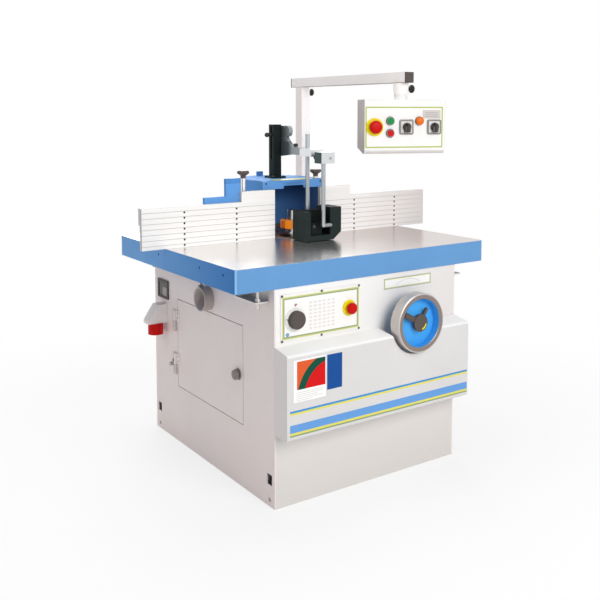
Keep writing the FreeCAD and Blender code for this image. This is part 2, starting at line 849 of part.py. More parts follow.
def make_door():
    y0 = f"({DOOR_FRONT} + door_gap)"
    z0 = "(door_bottom + door_gap)"
    width = "(door_width - 2 * door_gap)"
    height = "(door_height - 2 * door_gap)"
    panel = box(CABINET_LEFT, y0, z0, "door_return", width, height)
    hollow = box(f"{CABINET_LEFT} + door_sheet", f"{y0} + door_sheet", f"{z0} + door_sheet",
                 "door_return", f"{width} - 2 * door_sheet", f"{height} - 2 * door_sheet")
    latch_hole = rod(f"{CABINET_LEFT} - cut_overrun", f"{DOOR_FRONT} + latch_inset", "latch_level",
                     "latch_grip + running_gap", "door_return", "+x")
    leaves = []
    for level in ("hinge_low", "hinge_high"):
        barrel_bottom = f"({level} + hinge_length / 2 + running_gap)"
        barrel_height = "(hinge_length / 2 - running_gap)"
        leaf = box(f"{CABINET_LEFT} - hinge_sheet", f"{HINGE_Y} - hinge_leaf - hinge_radius", barrel_bottom,
                   "hinge_sheet", "hinge_leaf + hinge_radius", barrel_height)
        barrel = rod(HINGE_X, HINGE_Y, barrel_bottom, "hinge_radius", barrel_height)
        bore = rod(HINGE_X, HINGE_Y, f"{barrel_bottom} - cut_overrun", "hinge_pin_radius + running_gap",
                   f"{barrel_height} + 2 * cut_overrun")
        leaves.append(cut(fuse(leaf, barrel), bore))
    node("door_panel", fuse(cut(panel, hollow, latch_hole), *leaves))

    fixed = []
    for level in ("hinge_low", "hinge_high"):
        half = "hinge_length / 2"
        leaf = box(f"{CABINET_LEFT} - hinge_sheet", HINGE_Y, level, "hinge_sheet", "hinge_leaf", half)
        tail = box(f"{CABINET_LEFT} - hinge_sheet", f"{HINGE_Y} + hinge_radius + running_gap",
                   f"{level} + {half}",
                   "hinge_sheet", "hinge_leaf - hinge_radius - running_gap", half)
        barrel = rod(HINGE_X, HINGE_Y, level, "hinge_radius", half)
        pin = rod(HINGE_X, HINGE_Y, level, "hinge_pin_radius", "hinge_length")
        fixed.append(fuse(leaf, tail, barrel, pin))
    node("door_hinges", group(*fixed))

    knob = lathe("latch", [
        ("0", "-door_sheet"), ("latch_grip", "-door_sheet"), ("latch_grip", "running_gap"),
        ("latch_collar", "running_gap"), ("latch_collar", "latch_plate"), ("latch_radius", "latch_plate"),
        ("latch_radius", "latch_height * 0.7"), ("latch_radius - latch_plate", "latch_height"),
        ("0", "latch_height"),
    ])
    grip = box("-latch_radius", "-latch_grip / 2", "latch_plate", "2 * latch_radius", "latch_grip",
               "latch_height + latch_plate")
    turned = fuse(knob, grip)
    node("door_knob", place(turned, CABINET_LEFT, f"{DOOR_FRONT} + latch_inset", "latch_level", "-x"))


def make_side_fittings():
    outside = f"{CABINET_LEFT} - window_sheet"
    window_y = f"{CABINET_BACK} - window_inset"
    frame = box(outside, window_y, "window_bottom", "window_sheet", "window_width", "window_height")
    pane = box(f"{outside} - cut_overrun", f"{window_y} + window_frame", "window_bottom + window_frame",
               "pane_recess + cut_overrun", "window_width - 2 * window_frame",
               "window_height - 2 * window_frame")
    node("side_window", cut(frame, pane))

    spout = lathe("spout", [
        ("spout_radius - spout_wall", "-sheet_wall - spout_wall"),
        ("spout_radius + spout_flange", "-sheet_wall - spout_wall"),
        ("spout_radius + spout_flange", "-sheet_wall"),
        ("spout_radius", "-sheet_wall"), ("spout_radius", "spout_reach - spout_wall"),
        ("spout_radius + spout_wall / 2", "spout_reach - spout_wall"),
        ("spout_radius + spout_wall / 2", "spout_reach"),
        ("spout_radius - spout_wall", "spout_reach"),
    ])
    node("dust_spout", place(spout, CABINET_LEFT, f"{CABINET_FRONT} + spout_setback", "spout_level", "-x"))

    side_view = [
        (CABINET_LEFT, "inlet_bottom"),
        (f"{CABINET_LEFT} - inlet_reach", "inlet_bottom"),
        (f"{CABINET_LEFT} - inlet_reach", "inlet_bottom + inlet_brow"),
        (f"{CABINET_LEFT} - inlet_crown", "inlet_bottom + inlet_height"),
        (CABINET_LEFT, "inlet_bottom + inlet_height"),
    ]
    housing = new_body("inlet")
    inlet_y = f"{CABINET_BACK} - inlet_inset"
    pad(housing, "XZ", side_view, inlet_y, "inlet_width")
    node("inlet_housing", housing)
    collar = lathe("inlet_ring", [
        ("0", "collar_bore - collar_radius"), ("0", "0"), ("collar_radius", "0"),
        ("collar_radius", "-collar_length"), ("collar_bore", "-collar_length"),
        ("collar_bore", "collar_bore - collar_radius"),
    ])
    node("inlet_collar", place(collar, f"{CABINET_LEFT} - collar_axis", f"{inlet_y} + inlet_width / 2",
                               "inlet_bottom"))


def make_brackets():
    """A shelf with a web and a jack bolt at each front corner, under the table's overhang."""
    pieces = []
    y0 = f"{CABINET_FRONT} + bracket_setback"
    for wall, outward in ((CABINET_LEFT, -1), (CABINET_RIGHT, 1)):
        x0 = f"{wall} - bracket_reach" if outward < 0 else wall
        wall_x = f"{wall} - bracket_sheet" if outward < 0 else wall
        shelf = box(x0, y0, "bracket_level", "bracket_reach", "bracket_run", "bracket_sheet")
        back = box(wall_x, y0, "bracket_level", "bracket_sheet", "bracket_run",
                   f"{TABLE_UNDER} - bracket_level")
        web = box(x0, f"{y0} + bracket_run - bracket_sheet", "bracket_level", "bracket_reach",
                  "bracket_sheet",
                  f"{TABLE_UNDER} - bracket_level")
        bolt_x = f"{wall} + {outward} * bracket_reach * 0.6"
        bolt_y = f"{y0} + bracket_reach * 0.4"
        bolt = rod(bolt_x, bolt_y, "bracket_level - jack_drop", "jack_radius",
                   f"{TABLE_UNDER} - bracket_level + jack_drop")
        nut = rod(bolt_x, bolt_y, "bracket_level + bracket_sheet", "jack_head", "jack_head")
        pieces.append(fuse(shelf, back, web, bolt, nut))
    node("table_brackets", group(*pieces))


# Front controls

def stop_collar(name, radius):
    return lathe(name, [
        ("stop_stem + running_gap", "0"), (radius, "0"), (radius, "collar_rise * 0.6"),
        (f"{radius} * 0.9", "collar_rise"), ("stop_stem + running_gap", "collar_rise"),
    ])


def stop_cap(name, radius):
    under = "(collar_rise + stop_lift)"
    return lathe(name, [
        ("0", "collar_rise - running_gap * 5"), ("stop_stem", "collar_rise - running_gap * 5"),
        ("stop_stem", under),
        (f"{radius} * 0.92", under), (radius, f"{under} + stop_height * 0.25"),
        (f"{radius} * 0.94", f"{under} + stop_height * 0.62"),
        (f"{radius} * 0.7", f"{under} + stop_height * 0.9"),
        (f"{radius} * 0.35", f"{under} + stop_height"), ("0", f"{under} + stop_height"),
    ])


def make_front_controls():
    plate = box(PLATE_LEFT, PLATE_FRONT, "plate_bottom", "plate_width", "plate_sheet", "plate_height")
    bezel = rod(f"{PLATE_LEFT} + dial_inset", PLATE_FRONT, "dial_level", "dial_bezel", "dial_rise", "-y")
    node("control_plate", fuse(plate, bezel))

    collar = stop_collar("front_collar", "stop_collar")
    node("front_stop_collar", place(collar, f"{PLATE_LEFT} + stop_inset", PLATE_FRONT, "stop_level", "-y"))
    cap = stop_cap("front_cap", "stop_cap")
    node("front_stop_cap", place(cap, f"{PLATE_LEFT} + stop_inset", PLATE_FRONT, "stop_level", "-y"))

    dial = lathe("dial", [
        ("0", "running_gap"), ("dial_radius", "running_gap"), ("dial_radius", "dial_height * 0.8"),
        ("dial_radius * 0.92", "dial_height"), ("0", "dial_height"),
    ])
    notch_round(dial, "dial_radius + dial_flute / 2", "0", "dial_flute", "dial_height * 0.3",
                "dial_height", 24)
    node("front_dial", place(dial, f"{PLATE_LEFT} + dial_inset", f"{PLATE_FRONT} - dial_rise",
                             "dial_level", "-y"))


# Handwheel, shaft and bevel gears

def bevel_profile(shaft_radius, shaft_start):
    """A shaft with a bevel gear on its end; the cone's point lies at height zero."""
    return [
        ("0", shaft_start), (shaft_radius, shaft_start), (shaft_radius, "-gear_radius - gear_hub"),
        ("gear_radius - gear_tooth", "-gear_radius - gear_hub"),
        ("gear_radius - gear_tooth", "-gear_radius"),
        ("gear_radius - running_gap", "-gear_radius"),
        ("gear_radius - gear_face - running_gap", "gear_face - gear_radius"),
        ("0", "gear_face - gear_radius"),
    ]


def cut_teeth(body):
    """Cuts the gaps between the bevel teeth, each as deep as a tooth at the large end."""
    drawing = new_sketch(body, "XY", "-gear_radius - gear_tooth")
    draw_outline(drawing, [
        ("gear_radius - gear_tooth - gear_face / 2", "0"),
        ("gear_radius + gear_tooth", "-gear_tooth * 0.9"), ("gear_radius + gear_tooth", "gear_tooth * 0.9"),
    ])
    return pocket_round(body, drawing, "gear_face + gear_tooth", 16)


def make_handwheel():
    bore = "drive_radius"
    inner = "(wheel_radius - wheel_rim)"
    web_back = "(wheel_depth / 2 - wheel_web)"
    wheel = lathe("wheel", [
        (bore, f"{web_back} - wheel_dish"), ("wheel_hub", f"{web_back} - wheel_dish"),
        ("wheel_hub", web_back), (inner, f"{web_back} - wheel_dish"), (inner, "0"), ("wheel_radius", "0"),
        ("wheel_radius", "wheel_depth"), (inner, "wheel_depth"),
        (inner, f"{web_back} - wheel_dish + wheel_web"),
        ("wheel_hub", f"{web_back} + wheel_web"), ("wheel_hub", "wheel_depth * 0.7"),
        (bore, "wheel_depth * 0.7"),
    ])
    rim = value("wheel_radius - wheel_rim") - TOLERANCE
    round_edges(wheel, "wheel_round", lambda edge: (
        edge.BoundBox.ZLength < TOLERANCE and edge.BoundBox.XLength / 2 > rim
        and min(abs(edge.BoundBox.ZMin), abs(edge.BoundBox.ZMin - value("wheel_depth"))) < TOLERANCE))
    node("handwheel", place(wheel, "wheel_offset", WHEEL_BACK, "wheel_level", "-y"))

    crank = new_body("crank")
    drawing = new_sketch(crank, "XY", "wheel_depth * 0.7")
    draw_circle(drawing, "0", "0", "crank_cap")
    cap = crank.newObject("PartDesign::Pad", "cap")
    cap.Profile = drawing
    cap.setExpression("Length", formula("crank_rise"))
    doc.recompute()
    arms = (("crank_angle", "crank_arm / 2", "crank_reach"), ("fold_angle", "crank_grip / 2", "crank_fold"))
    for angle, half, reach in arms:
        ahead, aside = f"cos({angle})", f"sin({angle})"
        pad(crank, "XY", [
            (f"{half} * {aside}", f"-({half}) * {ahead}"),
            (f"{reach} * {ahead} + {half} * {aside}", f"{reach} * {aside} - {half} * {ahead}"),
            (f"{reach} * {ahead} - {half} * {aside}", f"{reach} * {aside} + {half} * {ahead}"),
            (f"-({half}) * {aside}", f"{half} * {ahead}"),
        ], "wheel_depth * 0.7", "crank_rise * 0.8")
    node("crank_handle", place(crank, "wheel_offset", WHEEL_BACK, "wheel_level", "-y"))

    shaft_start = f"({WHEEL_BACK} - wheel_depth * 0.7 - screw_setback)"
    shaft = cut_teeth(lathe("drive_shaft", bevel_profile("drive_radius", shaft_start)))
    node("handwheel_shaft", place(shaft, "wheel_offset", "screw_setback", "wheel_level", "+y"))

    screw = cut_teeth(lathe("screw", bevel_profile("screw_radius", "lug_low - wheel_level + running_gap")))
    node("lift_screw", place(screw, "wheel_offset", "screw_setback", "wheel_level"))


# Lift: guide bracket under the table and the carriage on it

def make_guide():
    right = f"({CHEEK_LEFT} + cheek_thickness)"
    flange = box("-guide_half", "-guide_half", f"{TABLE_UNDER} - guide_flange", f"guide_half + {right}",
                 "guide_half + guide_setback + guide_plate", "guide_flange")
    plate = box("-guide_half", "guide_setback", "guide_foot", f"guide_half + {right}", "guide_plate",
                f"{TABLE_UNDER} - guide_foot")
    ways = [
        box(x, WAY_FRONT, "guide_foot", "way_width", "way_depth", f"{TABLE_UNDER} - guide_foot")
        for x in ("-way_half", "way_half - way_width")
    ]
    lugs = [
        box("wheel_offset - lug_half", "screw_setback - lug_half", level,
            f"{right} - wheel_offset + lug_half",
            "guide_setback - screw_setback + lug_half", "lug_thickness")
        for level in ("lug_low", LUG_HIGH)
    ]
    lead = "(gear_radius + gear_hub + running_gap + bearing_length)"
    cheek_front = f"(screw_setback - {lead})"
    cheek = box(CHEEK_LEFT, cheek_front, LUG_HIGH, "cheek_thickness", f"guide_setback - {cheek_front}",
                f"wheel_level + lug_half - {LUG_HIGH}")
    bearing = box("wheel_offset - lug_half", cheek_front, "wheel_level - lug_half",
                  f"{right} - wheel_offset + lug_half", "bearing_length", "2 * lug_half")
    casting = fuse(flange, plate, *ways, *lugs, cheek, bearing)
    passage = rod("0", "0", f"{TABLE_UNDER} - guide_flange - cut_overrun", "quill_radius + cut_overrun",
                  "guide_flange + 2 * cut_overrun")
    screw_bore = rod("wheel_offset", "screw_setback", "lug_low + running_gap", "screw_radius + running_gap",
                     f"{LUG_HIGH} + lug_thickness - lug_low + cut_overrun")
    shaft_bore = rod("wheel_offset", f"{cheek_front} - cut_overrun", "wheel_level",
                     "drive_radius + running_gap",
                     "bearing_length + 2 * cut_overrun", "+y")
    node("guide_bracket", cut(casting, passage, screw_bore, shaft_bore))


def make_carriage():
    back = f"({WAY_FRONT} - running_gap)"
    lip = "(way_half + running_gap)"
    quill = rod("0", "0", "quill_bottom", "quill_radius", "quill_top - quill_bottom")
    neck = box("-quill_radius", "0", "quill_bottom", "2 * quill_radius", back,
               "carriage_top - quill_bottom")
    plate = box(f"-{lip} - carriage_plate", CARRIAGE_FRONT, "carriage_bottom",
                f"2 * ({lip} + carriage_plate)",
                "carriage_plate", "carriage_top - carriage_bottom")
    lips = [
        box(x, CARRIAGE_FRONT, "carriage_bottom", "carriage_plate",
            "carriage_plate + way_depth - running_gap",
            "carriage_top - carriage_bottom")
        for x in (f"-{lip} - carriage_plate", lip)
    ]
    arm = box(lip, "screw_setback - lug_half", "nut_level", f"wheel_offset + lug_half - {lip}",
              f"{back} - screw_setback + lug_half", "nut_height")
    shelf_left = "(-motor_offset - motor_radius - motor_fin)"
    shelf = box(shelf_left, "-motor_radius - motor_fin", "carriage_bottom", f"{lip} - {shelf_left}",
                f"motor_radius + motor_fin + {back}", "motor_shelf")
    casting = fuse(quill, neck, plate, *lips, arm, shelf)
    bore = rod("0", "0", "quill_bottom - cut_overrun", "journal_radius + running_gap",
               "quill_top - quill_bottom + 2 * cut_overrun")
    thread = rod("wheel_offset", "screw_setback", "nut_level - cut_overrun", "screw_radius + running_gap",
                 "nut_height + 2 * cut_overrun")
    shaft_hole = rod("-motor_offset", "0", "carriage_bottom - cut_overrun",
                     "motor_shaft_radius + running_gap",
                     "motor_shelf + 2 * cut_overrun")
    node("lift_carriage", cut(casting, bore, thread, shaft_hole))


# Spindle, cutter and belt drive

def make_spindle():
    top = "shoulder_top"
    pulley_top = "(pulley_bottom + 3 * pulley_step)"
    shaft = lathe("spindle", [
        ("0", "tail_bottom"), ("tail_radius", "tail_bottom"), ("tail_radius", pulley_top),
        ("journal_radius", pulley_top), ("journal_radius", "shoulder_level"),
        ("shoulder_radius", "shoulder_level"), ("shoulder_radius", top), ("arbor_radius", top),
        ("arbor_radius", "arbor_top"), ("0", "arbor_top"),
    ])
    node("spindle_shaft", shaft)

    above = "(cutter_level + cutter_height)"
    lower = lathe("lower_spacer", rectangle("arbor_bore", top, "spacer_radius", "cutter_level"))
    upper = lathe("upper_spacer", rectangle("arbor_bore", above, "spacer_radius",
                                            f"{above} + spacer_height"))
    node("spacer_rings", group(lower, upper))

    block = lathe("cutter", [
        ("arbor_bore", "0"), ("cutter_radius * 0.97", "0"), ("cutter_radius", "cutter_height * 0.06"),
        ("cutter_radius", "cutter_height * 0.94"), ("cutter_radius * 0.97", "cutter_height"),
        ("arbor_bore", "cutter_height"),
    ])
    drawing = new_sketch(block, "XY", "-cut_overrun")
    draw_outline(drawing, rectangle("cutter_radius - gullet_depth", "0", "cutter_radius + cut_overrun",
                                    "gullet_width"))
    pocket_round(block, drawing, "cutter_height + 2 * cut_overrun", 4)
    node("cutter_block", place(block, z="cutter_level"))

    blades = []
    for quarter in range(4):
        blade = doc.addObject("Part::Box", "blade")
        blade.setExpression("Length", formula("gullet_depth + knife_proud"))
        blade.setExpression("Width", formula("knife_thickness"))
        blade.setExpression("Height", formula("cutter_height"))
        angle = 90 * quarter
        blade.Placement.Rotation = FreeCAD.Rotation(FreeCAD.Vector(0, 0, 1), angle)
        blade.setExpression("Placement.Base.x", formula(f"(cutter_radius - gullet_depth) * cos({angle})"))
        blade.setExpression("Placement.Base.y", formula(f"(cutter_radius - gullet_depth) * sin({angle})"))
        blade.setExpression("Placement.Base.z", formula("cutter_level"))
        blades.append(blade)
    node("cutter_knives", group(*blades))

    nut_bottom = f"({above} + spacer_height)"
    nut = lathe("top_nut", [
        ("arbor_bore", nut_bottom), ("nut_radius", nut_bottom),
        ("nut_radius", f"{nut_bottom} + nut_rise * 0.8"),
        ("nut_radius * 0.93", f"{nut_bottom} + nut_rise"), ("0", f"{nut_bottom} + nut_rise"),
        ("0", "arbor_top"), ("arbor_bore", "arbor_top"),
    ])
    node("spindle_nut", nut)


def sheave_profile(bore, middle, change):
    """A pulley of three steps; the middle step carries the belt."""
    steps = (f"({middle} - {change})", f"({middle})", f"({middle} + {change})")
    points = [(bore, "0")]
    for i, radius in enumerate(steps):
        points += [(radius, f"{i} * pulley_step"), (radius, f"{i + 1} * pulley_step")]
    return points + [(bore, "3 * pulley_step")]


def belt_loop(near, far, reach):
    """A closed wire round two circles: one on the axis, one a reach away along -X."""
    lean = (far - near) / reach
    rise = (1 - lean * lean) ** 0.5
    vector = FreeCAD.Vector
    a = vector(near * lean, near * rise, 0)
    b = vector(far * lean - reach, far * rise, 0)
    c = vector(b.x, -b.y, 0)
    d = vector(a.x, -a.y, 0)
    edges = [
        Part.LineSegment(a, b).toShape(),
        Part.Arc(b, vector(-reach - far, 0, 0), c).toShape(),
        Part.LineSegment(c, d).toShape(),
        Part.Arc(d, vector(near, 0, 0), a).toShape(),
    ]
    return Part.Wire(edges)


def make_belt_drive():
    spindle_sheave = lathe("spindle_sheave",
                           sheave_profile("tail_radius", "spindle_sheave", "sheave_change"))
    node("spindle_pulley", place(spindle_sheave, z="pulley_bottom"))

    shaft_bottom = "(carriage_bottom - pulley_bottom)"
    profile = sheave_profile("0", "motor_sheave", "-sheave_change")
    motor_sheave = lathe("motor_sheave", [("0", shaft_bottom), ("motor_shaft_radius", shaft_bottom),
                                          ("motor_shaft_radius", "0")] + profile[1:])
    node("motor_pulley", place(motor_sheave, "-motor_offset", "0", "pulley_bottom"))

    slack = value("running_gap")
    thickness = value("belt_thickness")
    near, far, reach = value("spindle_sheave") + slack, value("motor_sheave") + slack, value("motor_offset")
    outer = Part.Face(belt_loop(near + thickness, far + thickness, reach))
    section = outer.cut(Part.Face(belt_loop(near, far, reach)))
    belt = doc.addObject("Part::Feature", "belt")
    belt.Shape = section.extrude(FreeCAD.Vector(0, 0, value("belt_width")))
    place(belt, z="pulley_bottom + 1.5 * pulley_step - belt_width / 2")
    node("drive_belt", belt)

    frame = lathe("motor_frame", [
        ("0", "0"), ("motor_radius * 0.8", "0"), ("motor_radius + motor_fin", "motor_bell * 0.6"),
        ("motor_radius + motor_fin", "motor_bell"), ("motor_radius", "motor_bell"),
        ("motor_radius", "motor_length - motor_bell"),
        ("motor_radius + motor_fin", "motor_length - motor_bell"),
        ("motor_radius + motor_fin", "motor_length"), ("0", "motor_length"),
    ])
    before = frame.Shape.Volume
    drawing = new_sketch(frame, "XY", "motor_bell")
    draw_outline(drawing, rectangle("motor_radius * 0.9", "-motor_fin / 4", "motor_radius + motor_fin",
                                    "motor_fin / 4"))
    fin = frame.newObject("PartDesign::Pad", "fin")
    fin.Profile = drawing
    fin.setExpression("Length", formula("motor_length - 2 * motor_bell"))
    repeat_round(frame, fin, drawing, 20, before)
    terminal = box("-terminal_width / 2", "-motor_radius - terminal_depth",
                   "motor_length / 2 - terminal_height / 2", "terminal_width",
                   "motor_radius * 0.3 + terminal_depth",
                   "terminal_height")
    motor = fuse(frame, terminal)
    node("motor", place(motor, "-motor_offset", "0", "carriage_bottom - motor_length"))


# Fence: hood, carriers, plates

def fence_plate(label, side):
    """A grooved, drilled plate with a taller end by the cutter; side is -1 on the left, 1 on the right."""
    inner = "(fence_opening / 2)"
    outer = f"({inner} + fence_length)"
    left = inner if side > 0 else f"(-{outer})"
    step_left = inner if side > 0 else f"(-{inner} - fence_step_length)"
    front = "(-fence_lead)"
    base = f"{FENCE_BASE}"
    profile = [(front, base)]
    for i in range(7):
        middle = f"({base} + groove_first + {i} * groove_pitch)"
        floor = f"{front} + groove_depth"
        profile += [
            (front, f"{middle} - groove_width / 2"), (floor, f"{middle} - groove_width / 2"),
            (floor, f"{middle} + groove_width / 2"), (front, f"{middle} + groove_width / 2"),
        ]
    profile += [(front, f"{base} + fence_rise"), (FENCE_BACK, f"{base} + fence_rise"), (FENCE_BACK, base)]
    plate = new_body("plate")
    pad(plate, "YZ", profile, left, "fence_length")
    step = box(step_left, front, f"{base} + fence_rise", "fence_step_length", "fence_thickness",
               "fence_step_rise")
    holes = []
    for column in ("fence_hole_inner", "fence_hole_inner + fence_hole_spread"):
        for i in range(7):
            holes.append(rod(f"{side} * ({inner} + {column})", f"{front} - cut_overrun",
                             f"{base} + fence_hole_first + {i} * groove_pitch", "fence_hole_radius",
                             "fence_thickness + 2 * cut_overrun", "+y"))
    rail_left = f"({outer} - rail_length)" if side > 0 else f"(-{outer})"
    rail = box(rail_left, FENCE_BACK, f"{base} + fence_rise - rail_height", "rail_length", "rail_depth",
               "rail_height")
    node(label, cut(fuse(plate, step, rail), *holes))


def make_carriers():
    inner = "(hood_radius - carrier_inset)"
    bar = box("-carrier_reach", CARRIER_FRONT, FENCE_BASE, f"carrier_reach - {inner}", "carrier_thickness",
              "carrier_rise")
    shoulder = box("-carrier_block_left + carrier_block_width", f"{CARRIER_FRONT} - cut_overrun",
                   f"{FENCE_BASE} + fence_rise - cut_overrun",
                   "carrier_block_left", "carrier_thickness + 2 * cut_overrun", "carrier_rise")
    block = box("-carrier_block_left", CARRIER_FRONT, FENCE_BASE, "carrier_block_width",
                "carrier_thickness",
                "carrier_block_rise")
    right = box(inner, CARRIER_FRONT, FENCE_BASE, f"right_carrier_reach - {inner}", "carrier_thickness",
                "right_carrier_rise")
    node("fence_carriers", group(fuse(cut(bar, shoulder), block), right))


def hood_solid(wall, bottom, height, start):
    """The plan of the hood, a straight front and a round back, drawn in by a wall and extruded."""
    radius = f"(hood_radius - {wall})"
    straight = box(f"-{radius}", start, bottom, f"2 * {radius}", f"{HOOD_CENTRE} - ({start})", height)
    return fuse(straight, rod("0", HOOD_CENTRE, bottom, radius, height))


def make_hood():
    shell = hood_solid("0 * hood_wall", FENCE_BASE, "hood_rise", HOOD_FRONT)
    hollow = hood_solid("hood_wall", f"{FENCE_BASE} - cut_overrun", "hood_rise - hood_roof + cut_overrun",
                        f"{HOOD_FRONT} - cut_overrun")
    fascia = box("-hood_radius", HOOD_FRONT, f"{HOOD_TOP} - fascia_height", "2 * hood_radius", "hood_wall",
                 "fascia_height")
    notch = box("-notch_half", f"{HOOD_FRONT} - cut_overrun", f"{HOOD_TOP} - fascia_height - cut_overrun",
                "2 * notch_half", "hood_wall + 2 * cut_overrun", "notch_height + cut_overrun")
    wings = [
        box(x, HOOD_FRONT, FENCE_BASE, f"{reach} - hood_radius", "wing_thickness", "wing_rise")
        for x, reach in (("-carrier_reach", "carrier_reach"), ("hood_radius", "right_carrier_reach"))
    ]
    boss = rod("-left_knob_reach", f"{HOOD_FRONT} + boss_radius", FENCE_BASE, "boss_radius",
               "wing_rise + lug_rise")
    back = f"({HOOD_CENTRE} + hood_radius)"
    pipe = rod("0", f"{back} - 2 * hood_wall", "outlet_level", "outlet_radius",
               "2 * hood_wall + outlet_reach", "+y")
    bore = rod("0", f"{back} - 5 * hood_wall", "outlet_level", "outlet_radius - outlet_wall",
               "5 * hood_wall + outlet_reach + cut_overrun", "+y")
    walls = fuse(shell, pipe)
    body = fuse(cut(walls, hollow), cut(fascia, notch), *wings, boss)
    crest = box("crest_shift - crest_width / 2", f"{back} - crest_inset - crest_depth", HOOD_TOP,
                "crest_width",
                "crest_depth", "crest_rise")
    stud_bore = rod("-left_knob_reach", f"{HOOD_FRONT} + boss_radius", f"{FENCE_BASE} + wing_rise / 2",
                    "stud_radius + running_gap", "wing_rise")
    right_bore = rod("right_knob_reach", f"{HOOD_FRONT} + right_knob_setback",
                     f"{HOOD_TOP} - hood_roof / 2",
                     "stud_radius + running_gap", "hood_roof")
    node("fence_hood", fuse(cut(body, bore, stud_bore, right_bore), crest))


def clamp_knob(name, radius, height, stud_radius, stud_length, count):
    """A fluted clamp knob on its stud; the stud runs down from the foot of the neck at height zero."""
    knob = lathe(name, [
        ("0", f"-({stud_length})"), (stud_radius, f"-({stud_length})"), (stud_radius, "0"),
        (f"{radius} * 0.42", "0"), (f"{radius} * 0.46", f"{height} * 0.35"),
        (f"{radius} * 0.96", f"{height} * 0.62"),
        (radius, f"{height} * 0.72"), (radius, f"{height} * 0.86"), (f"{radius} * 0.86", height),
        ("0", height),
    ])
    return notch_round(knob, f"{radius} * 1.16", "0", f"{radius} * 0.28", f"{height} * 0.4", height, count)


def make_fence_knobs():
    stud_floor = f"({FENCE_BASE} + wing_rise / 2)"
    left = clamp_knob("left_knob", "knob_radius", "knob_height", "stud_radius",
                      f"left_knob_level - {stud_floor}", 6)
    node("left_clamp_knob", place(left, "-left_knob_reach", f"{HOOD_FRONT} + boss_radius",
                                  "left_knob_level"))
    right = clamp_knob("right_knob", "knob_radius", "knob_height", "stud_radius",
                       "right_knob_stud + hood_roof / 2", 6)
    node("right_clamp_knob", place(right, "right_knob_reach", f"{HOOD_FRONT} + right_knob_setback",
                                   f"{HOOD_TOP} + right_knob_stud"))


# Presser

def make_presser():
    half = "column_size / 2"
    post = box(f"-{half}", f"{HOOD_CENTRE} - {half}", HOOD_TOP, "column_size", "column_size",
               "column_height")
    foot = box(f"-{half} - column_foot / 2", f"{HOOD_CENTRE} - {half} - column_foot / 2", HOOD_TOP,
               "column_size + column_foot", "column_size + column_foot", "foot_rise")
    slot = box(f"-{half} - cut_overrun", f"{HOOD_CENTRE} - column_slot / 2", "column_slot_bottom",
               "column_size + 2 * cut_overrun", "column_slot", "column_slot_height")
    node("presser_column", cut(fuse(post, foot), slot))

    rear = f"({HOOD_CENTRE} + {half})"
    front = "(-rear_rod_lead + clamp_half)"
    span = f"({HOOD_CENTRE} - {half} - {front})"
    low, high = "clamp_level", "(clamp_level + clamp_height)"
    bow = f"(saddle_top - {high})"
    bow_top = f"({rear} - neck_strip)"
    bow_end = f"({bow_top} - {bow})"
    arm = new_body("gooseneck")
    pad(arm, "YZ", [
        (rear, "saddle_bottom"), (rear, "saddle_top"), (bow_top, "saddle_top"), (bow_end, high),
        (front, high),
        (front, low), (f"{front} + {span} * 0.62", low),
    ], SADDLE_LEFT, "saddle_thickness")
    hollow = rod(f"{SADDLE_LEFT} - cut_overrun", bow_end, "saddle_top", bow,
                 "saddle_thickness + 2 * cut_overrun", "+x")
    disc = rod(SADDLE_LEFT, f"{bow_top} - neck_disc * 0.8", "saddle_top - neck_disc", "neck_disc",
               "saddle_thickness", "+x")
    grip = rod(f"{SADDLE_LEFT} + saddle_thickness / 2", "neck_knob_lead", high, "neck_knob",
               "neck_knob_rise")
    head = box("-clamp_half", "-rear_rod_lead - head_reach", low,
               f"clamp_half + {SADDLE_LEFT} + saddle_thickness",
               "clamp_half + head_reach", "clamp_height")
    key = box("0", f"{HOOD_CENTRE} - column_slot / 2 + running_gap", "column_knob_level - key_height / 2",
              SADDLE_LEFT, "column_slot - 2 * running_gap", "key_height")
    bore = rod("0", "-rear_rod_lead", f"{low} - cut_overrun", "rod_radius + running_gap",
               "clamp_height + 2 * cut_overrun")
    node("presser_arm", cut(fuse(cut(arm, hollow), disc, grip, head, key), bore))

    cross_level = "(clamp_level - cross_drop)"
    head_front = "(-rear_rod_lead - head_reach)"
    block_back = "(-front_rod_lead + clamp_half)"
    bar = rod("0", head_front, cross_level, "cross_radius", f"{head_front} - {block_back}", "-y")
    block = box("-front_clamp_left", "-front_rod_lead - clamp_half", "front_clamp_bottom",
                "front_clamp_left + front_clamp_right", "2 * clamp_half", "front_clamp_height")
    block_bore = rod("0", "-front_rod_lead", "front_clamp_bottom - cut_overrun", "rod_radius + running_gap",
                     "front_clamp_height + 2 * cut_overrun")
    node("rod_clamps", cut(fuse(bar, block), block_bore))

    lug_top = f"({SHOE_BASE} + shoe_lug_rise)"
    rear_rod = rod("0", "-rear_rod_lead", lug_top, "rod_radius", f"rear_rod_top - {lug_top}")
    front_top = "(front_clamp_bottom + front_clamp_height)"
    front_rod = rod("0", "-front_rod_lead", "hook_level", "rod_radius", f"{front_top} - hook_level")
    elbow = doc.addObject("Part::Sphere", "elbow")
    elbow.setExpression("Radius", formula("rod_radius"))
    place(elbow, "0", "-front_rod_lead", "hook_level")
    hook = rod("0", "-front_rod_lead", "hook_level", "rod_radius", "hook_reach", "+x")
    node("presser_rods", group(rear_rod, fuse(front_rod, elbow, hook)))

    knob = clamp_knob("column_clamp", "column_knob_radius", "column_knob_height",
                      "column_slot / 2 - running_gap",
                      "column_size / 2 + running_gap", 6)
    node("column_knob", place(knob, f"-{half} - running_gap", HOOD_CENTRE, "column_knob_level", "-x"))


